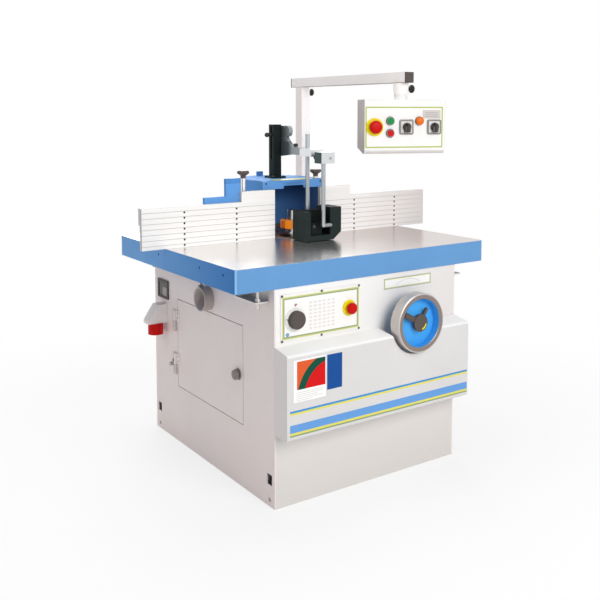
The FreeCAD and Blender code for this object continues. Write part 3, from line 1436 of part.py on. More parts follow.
def make_shoe():
    right = "shoe_right"
    top = f"({SHOE_BASE} + shoe_height)"
    body = new_body("shoe")
    pad(body, "XZ", [
        ("-shoe_half", SHOE_BASE), (f"{right} - shoe_toe", SHOE_BASE),
        (right, f"{SHOE_BASE} + shoe_toe_rise"),
        (right, f"{top} + upright_rise"), (f"{right} - shoe_upright", f"{top} + upright_rise"),
        (f"{right} - 1.2 * shoe_upright", top), ("-shoe_half", top),
    ], "-shoe_front", "shoe_depth")
    recess = box("-recess_left", "-shoe_front - cut_overrun", f"{SHOE_BASE} + shoe_sole",
                 f"recess_left + {right} - shoe_upright", "recess_depth + cut_overrun", "shoe_height")
    slope = new_body("toe_cut")
    pad(slope, "YZ", [
        ("-shoe_front - cut_overrun", f"{SHOE_BASE} - cut_overrun"), ("-shoe_front + shoe_slope * 0.3",
                                                                     f"{SHOE_BASE} - cut_overrun"),
        ("-shoe_front - cut_overrun", f"{SHOE_BASE} + shoe_slope * 0.3"),
    ], "-shoe_half - cut_overrun", "shoe_half + shoe_right + 2 * cut_overrun")
    back = "(-shoe_front + shoe_depth)"
    lug = box("-shoe_lug / 2", back, f"{SHOE_BASE} + shoe_lug_rise - shoe_lug", "shoe_lug",
              f"-rear_rod_lead + rod_radius - {back}", "shoe_lug")
    ear = box("hook_reach", "-front_rod_lead - rod_radius", "hook_level - rod_radius", "shoe_lug / 2",
              "front_rod_lead + rod_radius - shoe_front + recess_depth", "2 * rod_radius")
    node("presser_shoe", fuse(cut(body, recess, slope), lug, ear))


# Post, overhead arm and control box

def make_post():
    outer = box("post_offset - post_size / 2", f"{POST_CENTRE} - post_size / 2", "post_bottom", "post_size",
                "post_size", "post_top - post_bottom")
    hollow = box("post_offset - post_size / 2 + post_wall", f"{POST_CENTRE} - post_size / 2 + post_wall",
                 "post_bottom - cut_overrun", "post_size - 2 * post_wall", "post_size - 2 * post_wall",
                 "post_top - post_bottom - post_plug + cut_overrun")
    bore = rod("post_offset", POST_CENTRE, "post_top - pivot_length - running_gap",
               "pivot_radius + running_gap",
               "pivot_length + cut_overrun")
    stud_hole = rod("post_offset", POST_CENTRE, "arm_knob_level", "swivel_knob_radius * 0.25 + running_gap",
                    "post_size", "+x")
    brackets = [
        box("post_offset - post_bracket_half", CABINET_BACK, level, "2 * post_bracket_half", "post_bracket",
            "post_bracket_height")
        for level in ("post_bracket_low", "post_bracket_high")
    ]
    node("arm_post", fuse(cut(outer, hollow, bore, stud_hole), *brackets))


def make_arm():
    left = "(post_offset - arm_size / 2)"
    front = f"({POST_CENTRE} - arm_front)"
    length = "(arm_front + arm_rear)"
    tube = box(left, front, ARM_BASE, "arm_size", length, "arm_size")
    hollow = box(f"{left} + arm_wall", f"{front} - cut_overrun", f"{ARM_BASE} + arm_wall",
                 "arm_size - 2 * arm_wall", f"{length} + 2 * cut_overrun", "arm_size - 2 * arm_wall")
    pivot = rod("post_offset", POST_CENTRE, f"{ARM_BASE} + arm_wall", "pivot_radius",
                "pivot_length + arm_wall", "-z")
    sleeve = rod("post_offset", BOX_CENTRE, ARM_BASE, "sleeve_radius", "sleeve_length", "-z")
    bore = rod("post_offset", BOX_CENTRE, ARM_BASE, "sleeve_bore + running_gap",
               "sleeve_length + cut_overrun", "-z")
    stud_hole = rod("post_offset", BOX_CENTRE, f"{SLEEVE_END} + sleeve_length / 2",
                    "swivel_knob_radius * 0.25 + running_gap", "2 * sleeve_radius", "+x")
    node("swivel_arm", fuse(cut(tube, hollow), pivot, cut(sleeve, bore, stud_hole)))

    caps = []
    for plate_y, plug_y in ((f"{front} - arm_cap", front),
                            (f"{front} + {length}", f"{front} + {length} - cap_plug")):
        plate = box(left, plate_y, ARM_BASE, "arm_size", "arm_cap", "arm_size")
        plug = box(f"{left} + arm_wall", plug_y, f"{ARM_BASE} + arm_wall", "arm_size - 2 * arm_wall",
                   "cap_plug",
                   "arm_size - 2 * arm_wall")
        caps.append(fuse(plate, plug))
    node("arm_end_caps", group(*caps))

    stud = "swivel_knob_radius * 0.25"
    arm_knob = clamp_knob("post_clamp", "swivel_knob_radius", "swivel_knob_height", stud,
                          "swivel_stud + post_size / 2 - pivot_radius - 2 * running_gap", 6)
    node("arm_knob", place(arm_knob, "post_offset + post_size / 2 + swivel_stud", POST_CENTRE,
                           "arm_knob_level", "+x"))
    box_knob = clamp_knob("box_clamp", "swivel_knob_radius", "swivel_knob_height", stud,
                          "swivel_stud + sleeve_radius - sleeve_bore - running_gap", 6)
    node("box_knob", place(box_knob, "post_offset + sleeve_radius + swivel_stud", BOX_CENTRE,
                           f"{SLEEVE_END} + sleeve_length / 2", "+x"))


def hang(solid):
    """Hangs a piece of the control box under the arm, turned to the operator about the sleeve."""
    solid.Placement = FreeCAD.Placement(FreeCAD.Vector(), FreeCAD.Rotation(FreeCAD.Vector(0, 0, 1), 1))
    solid.setExpression("Placement.Base.x", formula("post_offset"))
    solid.setExpression("Placement.Base.y", formula(BOX_CENTRE))
    solid.setExpression("Placement.Rotation.Angle", formula("-box_turn_angle"))
    return solid


def on_face(solid, share, level):
    """Puts a turned piece on the face of the control box, at a share of its width, and hangs it."""
    holder = group(place(solid, f"{BOX_LEFT} + {share} * box_width", BOX_FACE, level, "-y"))
    return hang(holder)


def make_control_box():
    bottom = "(box_top - box_height)"
    back = "(box_depth / 2)"

    def side_view(wall):
        return [
            (f"{BOX_FACE} + {wall}", f"box_top - {wall}"), (f"{BOX_FACE} + {wall}", f"{bottom} + box_lip"),
            (f"{BOX_FACE} + box_lip", f"{bottom} + {wall}"),
            (f"{back} - {wall}", f"{bottom} + box_rake + {wall}"),
            (f"{back} - {wall}", f"box_top - {wall}"),
        ]
    outside = new_body("box_outside")
    pad(outside, "YZ", side_view("0 * box_wall"), BOX_LEFT, "box_width")
    inside = new_body("box_inside")
    pad(inside, "YZ", side_view("box_wall"), f"{BOX_LEFT} + box_wall", "box_width - 2 * box_wall")
    spigot = rod("0", "0", "box_top", "sleeve_bore", f"{ARM_BASE} - box_top - running_gap")
    collar = rod("0", "0", "box_top", "spigot_collar", f"{SLEEVE_END} - running_gap - box_top")
    node("control_box", hang(fuse(cut(outside, inside), spigot, collar)))

    ring = stop_collar("box_collar", "box_stop_collar")
    node("box_stop_collar", on_face(ring, "box_stop_share", BOX_ROW))
    node("box_stop_cap", on_face(stop_cap("box_cap", "box_stop_cap"), "box_stop_share", BOX_ROW))

    spots = (
        ("box_button_share", f"{BOX_ROW} + button_spread"),
        ("box_button_share", f"{BOX_ROW} - button_spread"),
        ("box_lamp_share", f"{BOX_ROW} + button_spread"),
    )
    bezels = []
    for share, level in spots:
        bezel = lathe("bezel", [
            ("button_cap + running_gap", "0"), ("button_radius", "0"),
            ("button_radius", "bezel_rise * 0.5"),
            ("button_radius * 0.9", "bezel_rise"), ("button_cap + running_gap", "bezel_rise"),
        ])
        bezels.append(place(bezel, f"{BOX_LEFT} + {share} * box_width", BOX_FACE, level, "-y"))
    for label, (share, level) in zip(("green_button", "red_button"), spots):
        cap = lathe("cap", [
            ("0", "button_sink"), ("button_cap", "button_sink"),
            ("button_cap", "button_sink + button_height * 0.8"),
            ("button_cap * 0.85", "button_sink + button_height"), ("0", "button_sink + button_height"),
        ])
        node(label, on_face(cap, share, level))

    for share in ("box_plate_share", "box_second_share"):
        half = "selector_plate / 2"
        plate = new_body("switch_plate")
        pad(plate, "XY", rectangle(f"-{half}", f"-{half}", half, half), "0", "selector_sheet")
        round_edges(plate, "selector_round", upright)
        bezels.append(place(plate, f"{BOX_LEFT} + {share} * box_width", BOX_FACE, BOX_ROW, "-y"))
    node("box_bezels", hang(group(*bezels)))

    for label, share in (("left_selector", "box_plate_share"), ("right_selector", "box_second_share")):
        base = lathe("selector_base", [
            ("0", "selector_sheet + running_gap"), ("selector_radius", "selector_sheet + running_gap"),
            ("selector_radius", "selector_sheet + selector_height"),
            ("0", "selector_sheet + selector_height"),
        ])
        grip = box("-selector_grip / 2", "-selector_radius * 1.25", "selector_sheet + running_gap",
                   "selector_grip",
                   "selector_radius * 2.15", "selector_rise")
        node(label, on_face(fuse(base, grip), share, BOX_ROW))


# Build, check and write

make_table()
make_rings()
make_cabinet()
make_front_cover()
make_door()
make_side_fittings()
make_brackets()
make_front_controls()
make_handwheel()
make_guide()
make_carriage()
make_spindle()
make_belt_drive()
fence_plate("left_fence_plate", -1)
fence_plate("right_fence_plate", 1)
make_carriers()
make_hood()
make_fence_knobs()
make_presser()
make_shoe()
make_post()
make_arm()
make_control_box()
doc.recompute()

for item in doc.Objects:
    if "Invalid" in item.State or "Error" in item.State:
        raise RuntimeError(item.Label + " failed to build")
for piece in nodes:
    if piece.Shape.isNull() or not piece.Shape.isValid():
        raise RuntimeError(piece.Label + " has no valid solid")

os.makedirs("parts", exist_ok=True)
for piece in nodes:
    piece.Shape.exportStep(f"parts/{piece.Label}.step")
print(len(nodes), "pieces written")
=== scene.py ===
# %% [markdown]
# # A spindle moulder
# This lesson dresses a woodworking machine that is already built as solids: a sheet-steel cabinet, a cast table,
# a spindle that rises through it, a hood with two fence plates and a control box on an overhead arm. The solids
# give the shapes and the places. Here they get their finishes, and the small things that a solid model leaves
# out: borders, screws, cards, lenses and bands of colour.

# %% Load the solids
import math
import bmesh
import bpy
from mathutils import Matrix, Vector


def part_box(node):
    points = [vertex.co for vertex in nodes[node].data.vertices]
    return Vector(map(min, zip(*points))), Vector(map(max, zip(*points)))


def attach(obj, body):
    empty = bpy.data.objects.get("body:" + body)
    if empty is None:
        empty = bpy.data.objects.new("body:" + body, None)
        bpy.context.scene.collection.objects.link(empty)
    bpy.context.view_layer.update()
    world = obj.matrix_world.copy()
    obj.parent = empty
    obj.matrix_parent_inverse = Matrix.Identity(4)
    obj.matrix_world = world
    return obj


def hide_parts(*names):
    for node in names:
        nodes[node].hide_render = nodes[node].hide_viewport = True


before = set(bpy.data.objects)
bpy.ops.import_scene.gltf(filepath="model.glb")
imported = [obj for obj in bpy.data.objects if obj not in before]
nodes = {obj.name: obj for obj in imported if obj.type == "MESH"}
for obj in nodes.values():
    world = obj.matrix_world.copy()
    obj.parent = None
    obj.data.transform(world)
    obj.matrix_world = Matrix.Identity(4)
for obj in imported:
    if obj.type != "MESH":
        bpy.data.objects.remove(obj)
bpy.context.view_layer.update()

# %% [markdown]
# ## Camera, floor and light
# A catalogue photograph is taken from about eye height with a moderate lens. The camera stands in front and to
# the left and looks only a little down, so that upright edges stay almost upright. A shift of the picture then
# frames the machine, where more tilt would make its sides lean.

# %% Camera
CAMERA_PLACE = (-2.0275, -3.0009, 1.4235)
CAMERA_DOWN, CAMERA_TURN = 4.83, -34.41
bpy.ops.object.select_all(action="DESELECT")
bpy.ops.object.camera_add(
    location=CAMERA_PLACE,
    rotation=(math.radians(90 - CAMERA_DOWN), 0, math.radians(CAMERA_TURN)),
)
camera = bpy.context.object
camera.data.sensor_width = 36
camera.data.lens = 50.1
camera.data.shift_y = -0.1945
scene = bpy.context.scene
scene.camera = camera
scene.view_settings.view_transform = "Standard"
print("camera at", tuple(camera.location))

# %% [markdown]
# Every material is a small graph of nodes. A few helpers keep the graphs readable: one joins two sockets, one
# adds a node with its settings, and one stretches a number from one range to another. The last two are for the
# background, which looks different to the eye than to the light: one finds the rays that the eye follows, straight
# or by a mirror, and one mixes two shaders by such a mask.

# %% Node helpers
def link(tree, source, output, target, entry):
    """Joins an output socket of one node to an input socket of another."""
    tree.links.new(source.outputs[output], target.inputs[entry])


def new_node(tree, kind, values=None, **settings):
    """Adds a node and sets its properties; values holds its inputs by name or number."""
    made = tree.nodes.new(kind)
    for name, setting in settings.items():
        setattr(made, name, setting)
    for name, number in (values or {}).items():
        made.inputs[name].default_value = number
    return made


def map_range(tree, source, output, low, high, bottom=0.0, top=1.0):
    """A number that goes from bottom to top while a source goes from low to high, and stays there."""
    span = {"From Min": low, "From Max": high, "To Min": bottom, "To Max": top}
    ramp = new_node(tree, "ShaderNodeMapRange", span)
    link(tree, source, output, ramp, "Value")
    return ramp


def seen_rays(tree):
    """One for rays from the camera or from a mirror, nought for those that only carry light."""
    path = new_node(tree, "ShaderNodeLightPath")
    eye = new_node(tree, "ShaderNodeMath", operation="MAXIMUM")
    link(tree, path, "Is Camera Ray", eye, 0)
    link(tree, path, "Is Glossy Ray", eye, 1)
    return eye


def mix_shaders(tree, mask, first, second, surface):
    """Mixes two shaders by a mask and sends the result to the output of a material or a world."""
    both = new_node(tree, "ShaderNodeMixShader")
    link(tree, mask, 0, both, 0)
    link(tree, first, 0, both, 1)
    link(tree, second, 0, both, 2)
    link(tree, both, 0, new_node(tree, surface), "Surface")


print("node helpers ready")

# %% [markdown]
# The floor is one large pale sheet. For the eye it glows, so that it stays near white, and it glows less close to
# the machine, where it has to keep the machine's shadow. A plain white sheet would turn grey away from the lamps.

# %% Floor
FLOOR_SIZE, FLOOR_GAP = 40, 0.0005
SHADOW_NEAR, SHADOW_FAR, GLOW_NEAR = 0.8, 2.4, 0.7
bpy.ops.mesh.primitive_plane_add(size=FLOOR_SIZE, location=(0, 0, -FLOOR_GAP))
floor = bpy.context.object
floor.name = "studio_floor"
floor_paper = bpy.data.materials.new("floor_paper")
floor_paper.use_nodes = True
tree = floor_paper.node_tree
tree.nodes.clear()
sheet = new_node(tree, "ShaderNodeBsdfDiffuse", {"Color": (0.93, 0.93, 0.93, 1)})
glow = new_node(tree, "ShaderNodeEmission", {"Color": (1, 1, 1, 1), "Strength": 1.0})
ground = new_node(tree, "ShaderNodeTexCoord")
away = new_node(tree, "ShaderNodeVectorMath", operation="LENGTH")
link(tree, ground, "Object", away, 0)
fade = map_range(tree, away, "Value", SHADOW_NEAR, SHADOW_FAR, GLOW_NEAR, 1.0)
fade.interpolation_type = "SMOOTHSTEP"
share = new_node(tree, "ShaderNodeMath", operation="MULTIPLY")
link(tree, seen_rays(tree), 0, share, 0)
link(tree, fade, "Result", share, 1)
mix_shaders(tree, share, sheet, glow, "ShaderNodeOutputMaterial")
floor.data.materials.append(floor_paper)
print("floor of", FLOOR_SIZE, "m")

# %% [markdown]
# The world round the machine is treated in the same way: white for the eye and for mirrors, softer and a little
# bluer as a light. So the background stays clean without washing out the shadows.

# %% World
world = bpy.data.worlds.new("studio")
scene.world = world
world.use_nodes = True
tree = world.node_tree
tree.nodes.clear()
soft = new_node(tree, "ShaderNodeBackground", {"Color": (0.96, 0.98, 1, 1), "Strength": 0.34})
white = new_node(tree, "ShaderNodeBackground", {"Color": (1, 1, 1, 1), "Strength": 1.0})
mix_shaders(tree, seen_rays(tree), soft, white, "ShaderNodeOutputWorld")
print("world:", world.name)

# %% [markdown]
# In the picture the front of the machine is bright and its left side lies in a soft shade, so the main lamp is a
# wide panel in front, above the table. A weaker panel at the left keeps the shade open, one above the machine
# lights the table and the hood, and one behind it serves the views from the back.

# %% Lamps
def add_panel(name, place, target, size, power):
    """A square area lamp that faces a target."""
    bpy.ops.object.light_add(type="AREA", location=place)
    lamp = bpy.context.object
    lamp.name = name
    lamp.data.shape = "SQUARE"
    lamp.data.size = size
    lamp.data.energy = power
    lamp.rotation_euler = (Vector(target) - Vector(place)).to_track_quat("-Z", "Y").to_euler()
    return lamp


add_panel("main_panel", (-0.1, -4.1, 2.5), (0, -0.2, 0.7), 2.6, 112)
add_panel("left_panel", (-3.8, -0.2, 2.0), (0, 0, 0.5), 2.4, 15)
add_panel("top_panel", (-0.2, 0.6, 3.6), (0, 0, 0.9), 2.4, 45)
add_panel("back_panel", (1.5, 3.6, 2.2), (0, 0, 0.7), 2.4, 60)

# %% [markdown]
# ## Effects that many finishes share
# Three effects come back in many finishes, so each is a node group with its own inputs. A group is a graph with
# named sockets at both ends. Most of its variety comes from noise textures, whose numbers lie mostly between 0.3
# and 0.7, so that is the span which is stretched.

# %% Group helpers
NUMBER, COLOUR = "NodeSocketFloat", "NodeSocketColor"
NOISE_SPAN = (0.3, 0.7)


def new_group(name, entries, exits):
    """A shader node group with named float or colour sockets; returns its tree and its two end nodes."""
    tree = bpy.data.node_groups.new(name, "ShaderNodeTree")
    for label, kind, start in entries:
        socket = tree.interface.new_socket(name=label, in_out="INPUT", socket_type=kind)
        socket.default_value = start
    for label, kind in exits:
        tree.interface.new_socket(name=label, in_out="OUTPUT", socket_type=kind)
    return tree, tree.nodes.new("NodeGroupInput"), tree.nodes.new("NodeGroupOutput")


def noise(tree, source, output, **values):
    """A noise texture over a place; the keywords are its inputs."""
    texture = new_node(tree, "ShaderNodeTexNoise", values)
    link(tree, source, output, texture, "Vector")
    return texture


print("noise is stretched from", NOISE_SPAN)

# %% [markdown]
# The first effect is sprayed paint. A plain colour would look like plastic, so the group adds what a spray gun
# leaves: a faint cloudiness in the colour, smears in the gloss, and the fine dimples that are called orange peel.

# %% Node group: sprayed paint
sprayed_paint, entry, leave = new_group(
    "Sprayed paint",
    [("Colour", COLOUR, (0.8, 0.8, 0.8, 1)), ("Cloudiness", NUMBER, 0.05), ("Gloss roughness", NUMBER, 0.35)],
    [("Colour", COLOUR), ("Roughness", NUMBER), ("Dimples", NUMBER)],
)
tree = sprayed_paint
place = new_node(tree, "ShaderNodeTexCoord")
clouds = noise(tree, place, "Object", Scale=3.5, Detail=5.0, Roughness=0.6)
peel = noise(tree, place, "Object", Scale=420.0, Detail=2.0)
smears = noise(tree, place, "Object", Scale=11.0, Detail=6.0, Roughness=0.7)
darkest = new_node(tree, "ShaderNodeMath", {0: 1.0}, operation="SUBTRACT")
palest = new_node(tree, "ShaderNodeMath", {1: 0.5, 2: 1.0}, operation="MULTIPLY_ADD")
link(tree, entry, "Cloudiness", darkest, 1)
link(tree, entry, "Cloudiness", palest, 0)
spread = map_range(tree, clouds, "Fac", *NOISE_SPAN)
link(tree, darkest, 0, spread, "To Min")
link(tree, palest, 0, spread, "To Max")
tone = new_node(tree, "ShaderNodeHueSaturation")
link(tree, entry, "Colour", tone, "Color")
link(tree, spread, "Result", tone, "Value")
link(tree, tone, "Color", leave, "Colour")
polish = map_range(tree, smears, "Fac", *NOISE_SPAN, -0.06, 0.08)
rough = new_node(tree, "ShaderNodeMath", operation="ADD")
link(tree, polish, "Result", rough, 0)
link(tree, entry, "Gloss roughness", rough, 1)
link(tree, rough, 0, leave, "Roughness")
link(tree, peel, "Fac", leave, "Dimples")
print("group:", sprayed_paint.name)

# %% [markdown]
# The second effect is the direction of machining on bare metal. A noise that is stretched along one axis gives
# thin streaks, and a second, wider one makes the gloss a little uneven, as hands and oil do.

# %% Node group: machined streaks
machined_streaks, entry, leave = new_group(
    "Machined streaks",
    [("Colour", COLOUR, (0.7, 0.7, 0.7, 1)), ("Along X", NUMBER, 3.0), ("Along Y", NUMBER, 900.0),
     ("Along Z", NUMBER, 900.0), ("Base roughness", NUMBER, 0.3)],
    [("Colour", COLOUR), ("Roughness", NUMBER), ("Streaks", NUMBER)],
)
tree = machined_streaks
place = new_node(tree, "ShaderNodeTexCoord")
scales = new_node(tree, "ShaderNodeCombineXYZ")
for axis in "XYZ":
    link(tree, entry, "Along " + axis, scales, axis)
stretch = new_node(tree, "ShaderNodeVectorMath", operation="MULTIPLY")
link(tree, place, "Object", stretch, 0)
link(tree, scales, 0, stretch, 1)
streaks = noise(tree, stretch, 0, Scale=1.0, Detail=3.0, Roughness=0.6)
stains = noise(tree, place, "Object", Scale=6.0, Detail=5.0, Roughness=0.65)
shade = map_range(tree, streaks, "Fac", *NOISE_SPAN, 0.93, 1.03)
tone = new_node(tree, "ShaderNodeHueSaturation")
link(tree, entry, "Colour", tone, "Color")
link(tree, shade, "Result", tone, "Value")
link(tree, tone, "Color", leave, "Colour")
blur = map_range(tree, stains, "Fac", *NOISE_SPAN, -0.015, 0.03)
rough = new_node(tree, "ShaderNodeMath", operation="ADD")
link(tree, blur, "Result", rough, 0)
link(tree, entry, "Base roughness", rough, 1)
link(tree, rough, 0, leave, "Roughness")
link(tree, streaks, "Fac", leave, "Streaks")
print("group:", machined_streaks.name)

# %% [markdown]
# The third effect is the look of an edge, where paint thins and handling polishes it. An edge shows where the
# surface turns sharply: a bevelled normal then differs from the true one. A noise breaks that line up, because
# nothing wears evenly.

# %% Node group: handled edges
handled_edges, entry, leave = new_group(
    "Handled edges",
    [("Reach", NUMBER, 0.0015), ("Amount", NUMBER, 0.6)],
    [("Mask", NUMBER)],
)
tree = handled_edges
bent = new_node(tree, "ShaderNodeBevel", samples=4)
link(tree, entry, "Reach", bent, "Radius")
true_normal = new_node(tree, "ShaderNodeNewGeometry")
alike = new_node(tree, "ShaderNodeVectorMath", operation="DOT_PRODUCT")
link(tree, bent, "Normal", alike, 0)
link(tree, true_normal, "Normal", alike, 1)
turn = map_range(tree, alike, "Value", 0.995, 0.8)
place = new_node(tree, "ShaderNodeTexCoord")
patches = noise(tree, place, "Object", Scale=26.0, Detail=6.0, Roughness=0.7)
broken = map_range(tree, patches, "Fac", 0.45, 0.7)
worn = new_node(tree, "ShaderNodeMath", operation="MULTIPLY")
link(tree, turn, "Result", worn, 0)
link(tree, broken, "Result", worn, 1)
amount = new_node(tree, "ShaderNodeMath", operation="MULTIPLY")
link(tree, worn, 0, amount, 0)
link(tree, entry, "Amount", amount, 1)
link(tree, amount, 0, leave, "Mask")
print("group:", handled_edges.name)

# %% [markdown]
# ## Makers of finishes
# Each finish starts from one Principled shader. Its normal comes from a bump on top of a small bevel, so that the
# solids' sharp edges catch light as folded sheet and moulded plastic do. The bevel is only in the shading, because
# the solids themselves have to stay as they are.

# %% A bare finish
def new_finish(name, soft_edge, bump, depth):
    """A material whose Principled shader has a bump over a bevel; returns it with its tree, shader and bump."""
    finish = bpy.data.materials.new(name)
    finish.use_nodes = True
    tree = finish.node_tree
    shader = tree.nodes["Principled BSDF"]
    corner = new_node(tree, "ShaderNodeBevel", {"Radius": soft_edge}, samples=4)
    relief = new_node(tree, "ShaderNodeBump", {"Strength": bump, "Distance": depth})
    link(tree, corner, "Normal", relief, "Normal")
    link(tree, relief, "Normal", shader, "Normal")
    return finish, tree, shader, relief


def use_group(tree, group, **values):
    """Places a node group and sets its inputs; an underscore in a keyword stands for a space."""
    made = tree.nodes.new("ShaderNodeGroup")
    made.node_tree = group
    for name, setting in values.items():
        made.inputs[name.replace("_", " ")].default_value = setting
    return made


print("a finish can be started")

# %% [markdown]
# Colours are easiest to write as the numbers that a screen shows, from 0 to 255, but shaders count light, so they
# are made linear first. Two colours are mixed by a mask, and a last helper joins the three things that every finish
# has to feed: colour, roughness and the height of the bump.

# %% Colours
MIXED = 2


def rgb(red, green, blue):
    """A colour from its screen values of 0 to 255, as the linear numbers that shaders use."""
    linear = []
    for part in (red, green, blue):
        share = part / 255
        linear.append(share / 12.92 if share <= 0.04045 else ((share + 0.055) / 1.055) ** 2.4)
    return (*linear, 1)


def mix_colour(tree, mask, first, second):
    """Mixes two colours by a mask; each is four numbers, or a node with its output."""
    mixer = new_node(tree, "ShaderNodeMix", data_type="RGBA")
    link(tree, mask, 0, mixer, 0)
    for entry, colour in ((6, first), (7, second)):
        if len(colour) == 4:
            mixer.inputs[entry].default_value = colour
        else:
            link(tree, *colour, mixer, entry)
    return mixer


def join_shader(tree, shader, relief, colour, roughness, height):
    """Feeds a shader's colour and roughness and its bump's height; each source is a node with its output."""
    link(tree, *colour, shader, "Base Color")
    link(tree, *roughness, shader, "Roughness")
    link(tree, *height, relief, "Height")


print("middle grey is", rgb(128, 128, 128))

# %% [markdown]
# Three families cover almost the whole machine: sprayed paint, bare metal and moulded plastic. Each family is a
# function, so that a finish takes one line. Paint is a little darker where its edges are worn, unless another
# colour shows from under it.

# %% Maker of paint
WORN_SHADE = 0.72


def paint(name, colour, roughness=0.42, cloudiness=0.04, wear=0.35, under=None, soft_edge=0.0015, gloss=0.22):
    """Sprayed paint with lightly worn edges."""
    finish, tree, shader, relief = new_finish(name, soft_edge, bump=0.06, depth=0.0003)
    coat = use_group(tree, sprayed_paint, Colour=colour, Cloudiness=cloudiness, Gloss_roughness=roughness)
    edges = use_group(tree, handled_edges, Reach=0.0018, Amount=wear)
    under = under or (*(WORN_SHADE * part for part in colour[:3]), 1)
    worn = mix_colour(tree, edges, (coat, "Colour"), under)
    join_shader(tree, shader, relief, (worn, MIXED), (coat, "Roughness"), (coat, "Dimples"))
    shader.inputs["Specular IOR Level"].default_value = gloss
    return finish


print("paint wears to", WORN_SHADE, "of its colour")

# %% [markdown]
# Bare metal shows the direction in which it was machined. Its shader is fully metallic, so its colour tints what it
# mirrors, and the streaks go into the colour, the gloss and the bump together.

# %% Maker of metal
def machined(tree, colour, along, roughness):
    """The streaks of machining, along the axis whose scale is smallest."""
    return use_group(tree, machined_streaks, Colour=colour, Along_X=along[0], Along_Y=along[1], Along_Z=along[2],
                     Base_roughness=roughness)


def metal(name, colour, along, roughness=0.3, soft_edge=0.0006, bump=0.08):
    """Bare machined metal."""
    finish, tree, shader, relief = new_finish(name, soft_edge, bump, depth=0.0002)
    face = machined(tree, colour, along, roughness)
    join_shader(tree, shader, relief, (face, "Colour"), (face, "Roughness"), (face, "Streaks"))
    shader.inputs["Metallic"].default_value = 1.0
    return finish


print("makers:", paint.__name__, metal.__name__)

# %% [markdown]
# Moulded plastic has a fine eroded grain from its mould, for which the cells of a Voronoi texture are close enough,
# and it is paler where hands rub its edges. A clear coat can be laid over it for buttons and lenses.

# %% Maker of plastic
RUBBED_SHARE, RUBBED_LIFT = 0.75, 0.12


def plastic(name, colour, roughness=0.4, grain=700.0, relief_share=0.12, coat=0.0, gloss=0.25):
    """Moulded plastic: a fine eroded grain, slightly uneven gloss, paler rubbed edges."""
    finish, tree, shader, relief = new_finish(name, soft_edge=0.0012, bump=relief_share, depth=0.0003)
    skin = use_group(tree, sprayed_paint, Colour=colour, Cloudiness=0.08, Gloss_roughness=roughness)
    edges = use_group(tree, handled_edges, Reach=0.0012, Amount=0.3)
    rubbed = (*(min(1.0, RUBBED_SHARE * part + RUBBED_LIFT) for part in colour[:3]), 1)
    worn = mix_colour(tree, edges, (skin, "Colour"), rubbed)
    place = new_node(tree, "ShaderNodeTexCoord")
    texture = new_node(tree, "ShaderNodeTexVoronoi", {"Scale": grain})
    link(tree, place, "Object", texture, "Vector")
    join_shader(tree, shader, relief, (worn, MIXED), (skin, "Roughness"), (texture, "Distance"))
    shader.inputs["Specular IOR Level"].default_value = gloss
    shader.inputs["Coat Weight"].default_value = coat
    shader.inputs["Coat Roughness"].default_value = 0.12
    return finish


print("makers:", paint.__name__, metal.__name__, plastic.__name__)

# %% [markdown]
# ## The plain finishes
# Most pieces need one finish only. The cabinet's near whites are lit and shaded copies of one paint, painted light
# and shade, since its panels face the light differently, and the hood is sky blue. The cutter's signal orange and
# the post's white are stronger than the lamps make them, so these two give off a little light of their own, which
# is painted light.

# %% Painted sheet and castings
finishes = {
    # painted light and shade: front, cover and side are lit and shaded copies of the cabinet's one white paint
    "front": paint("front_paint", rgb(240, 238, 235), 0.4),
    "cover": paint("cover_paint", rgb(216, 213, 212), 0.4),
    "side": paint("side_paint", rgb(240, 228, 225), 0.36),
    "arm": paint("arm_paint", rgb(251, 247, 245), 0.4),
    "box": paint("box_paint", rgb(240, 238, 236), 0.4),
    "beam": paint("beam_paint", rgb(250, 244, 241), 0.4),
    "plate": paint("plate_paint", rgb(237, 235, 232), 0.4),
    "hinge": paint("hinge_paint", rgb(214, 202, 199), 0.4),
    "hood": paint("hood_paint", rgb(100, 158, 222), 0.6, 0.05, gloss=0.12),
    "casting": paint("casting_paint", rgb(104, 112, 116), 0.5, 0.1),
    "motor": paint("motor_paint", rgb(86, 96, 106), 0.45, 0.08),
    "column": paint("column_black", rgb(18, 29, 29), 0.5, 0.1, wear=0.4, under=rgb(84, 90, 88), gloss=0.12),
    "cutter": paint("cutter_orange", rgb(255, 150, 40), 0.4, 0.06, wear=0.5, under=rgb(190, 186, 180)),
    # painted shade: the rings' dark brown-grey stands in for the shade under the hood
    "rings": paint("ring_steel_shaded", rgb(134, 124, 118), 0.55, 0.12),
}


def brighten(finish, colour, strength):
    """Lets a finish give off a little light of its own."""
    shader = finish.node_tree.nodes["Principled BSDF"]
    shader.inputs["Emission Color"].default_value = colour
    shader.inputs["Emission Strength"].default_value = strength


# painted light: the cutter and the post glow a little, though neither is a lamp
brighten(finishes["cutter"], rgb(255, 140, 30), 0.28)
brighten(finishes["arm"], rgb(255, 250, 248), 0.24)
print("painted:", sorted(finishes))

# %% [markdown]
# The turned parts, the rods and the small ironwork are bare metal. Their three streak scales say which way the tool
# went: two large numbers and a small one give long streaks along the third axis, three equal ones a cast or
# brushed look without direction.

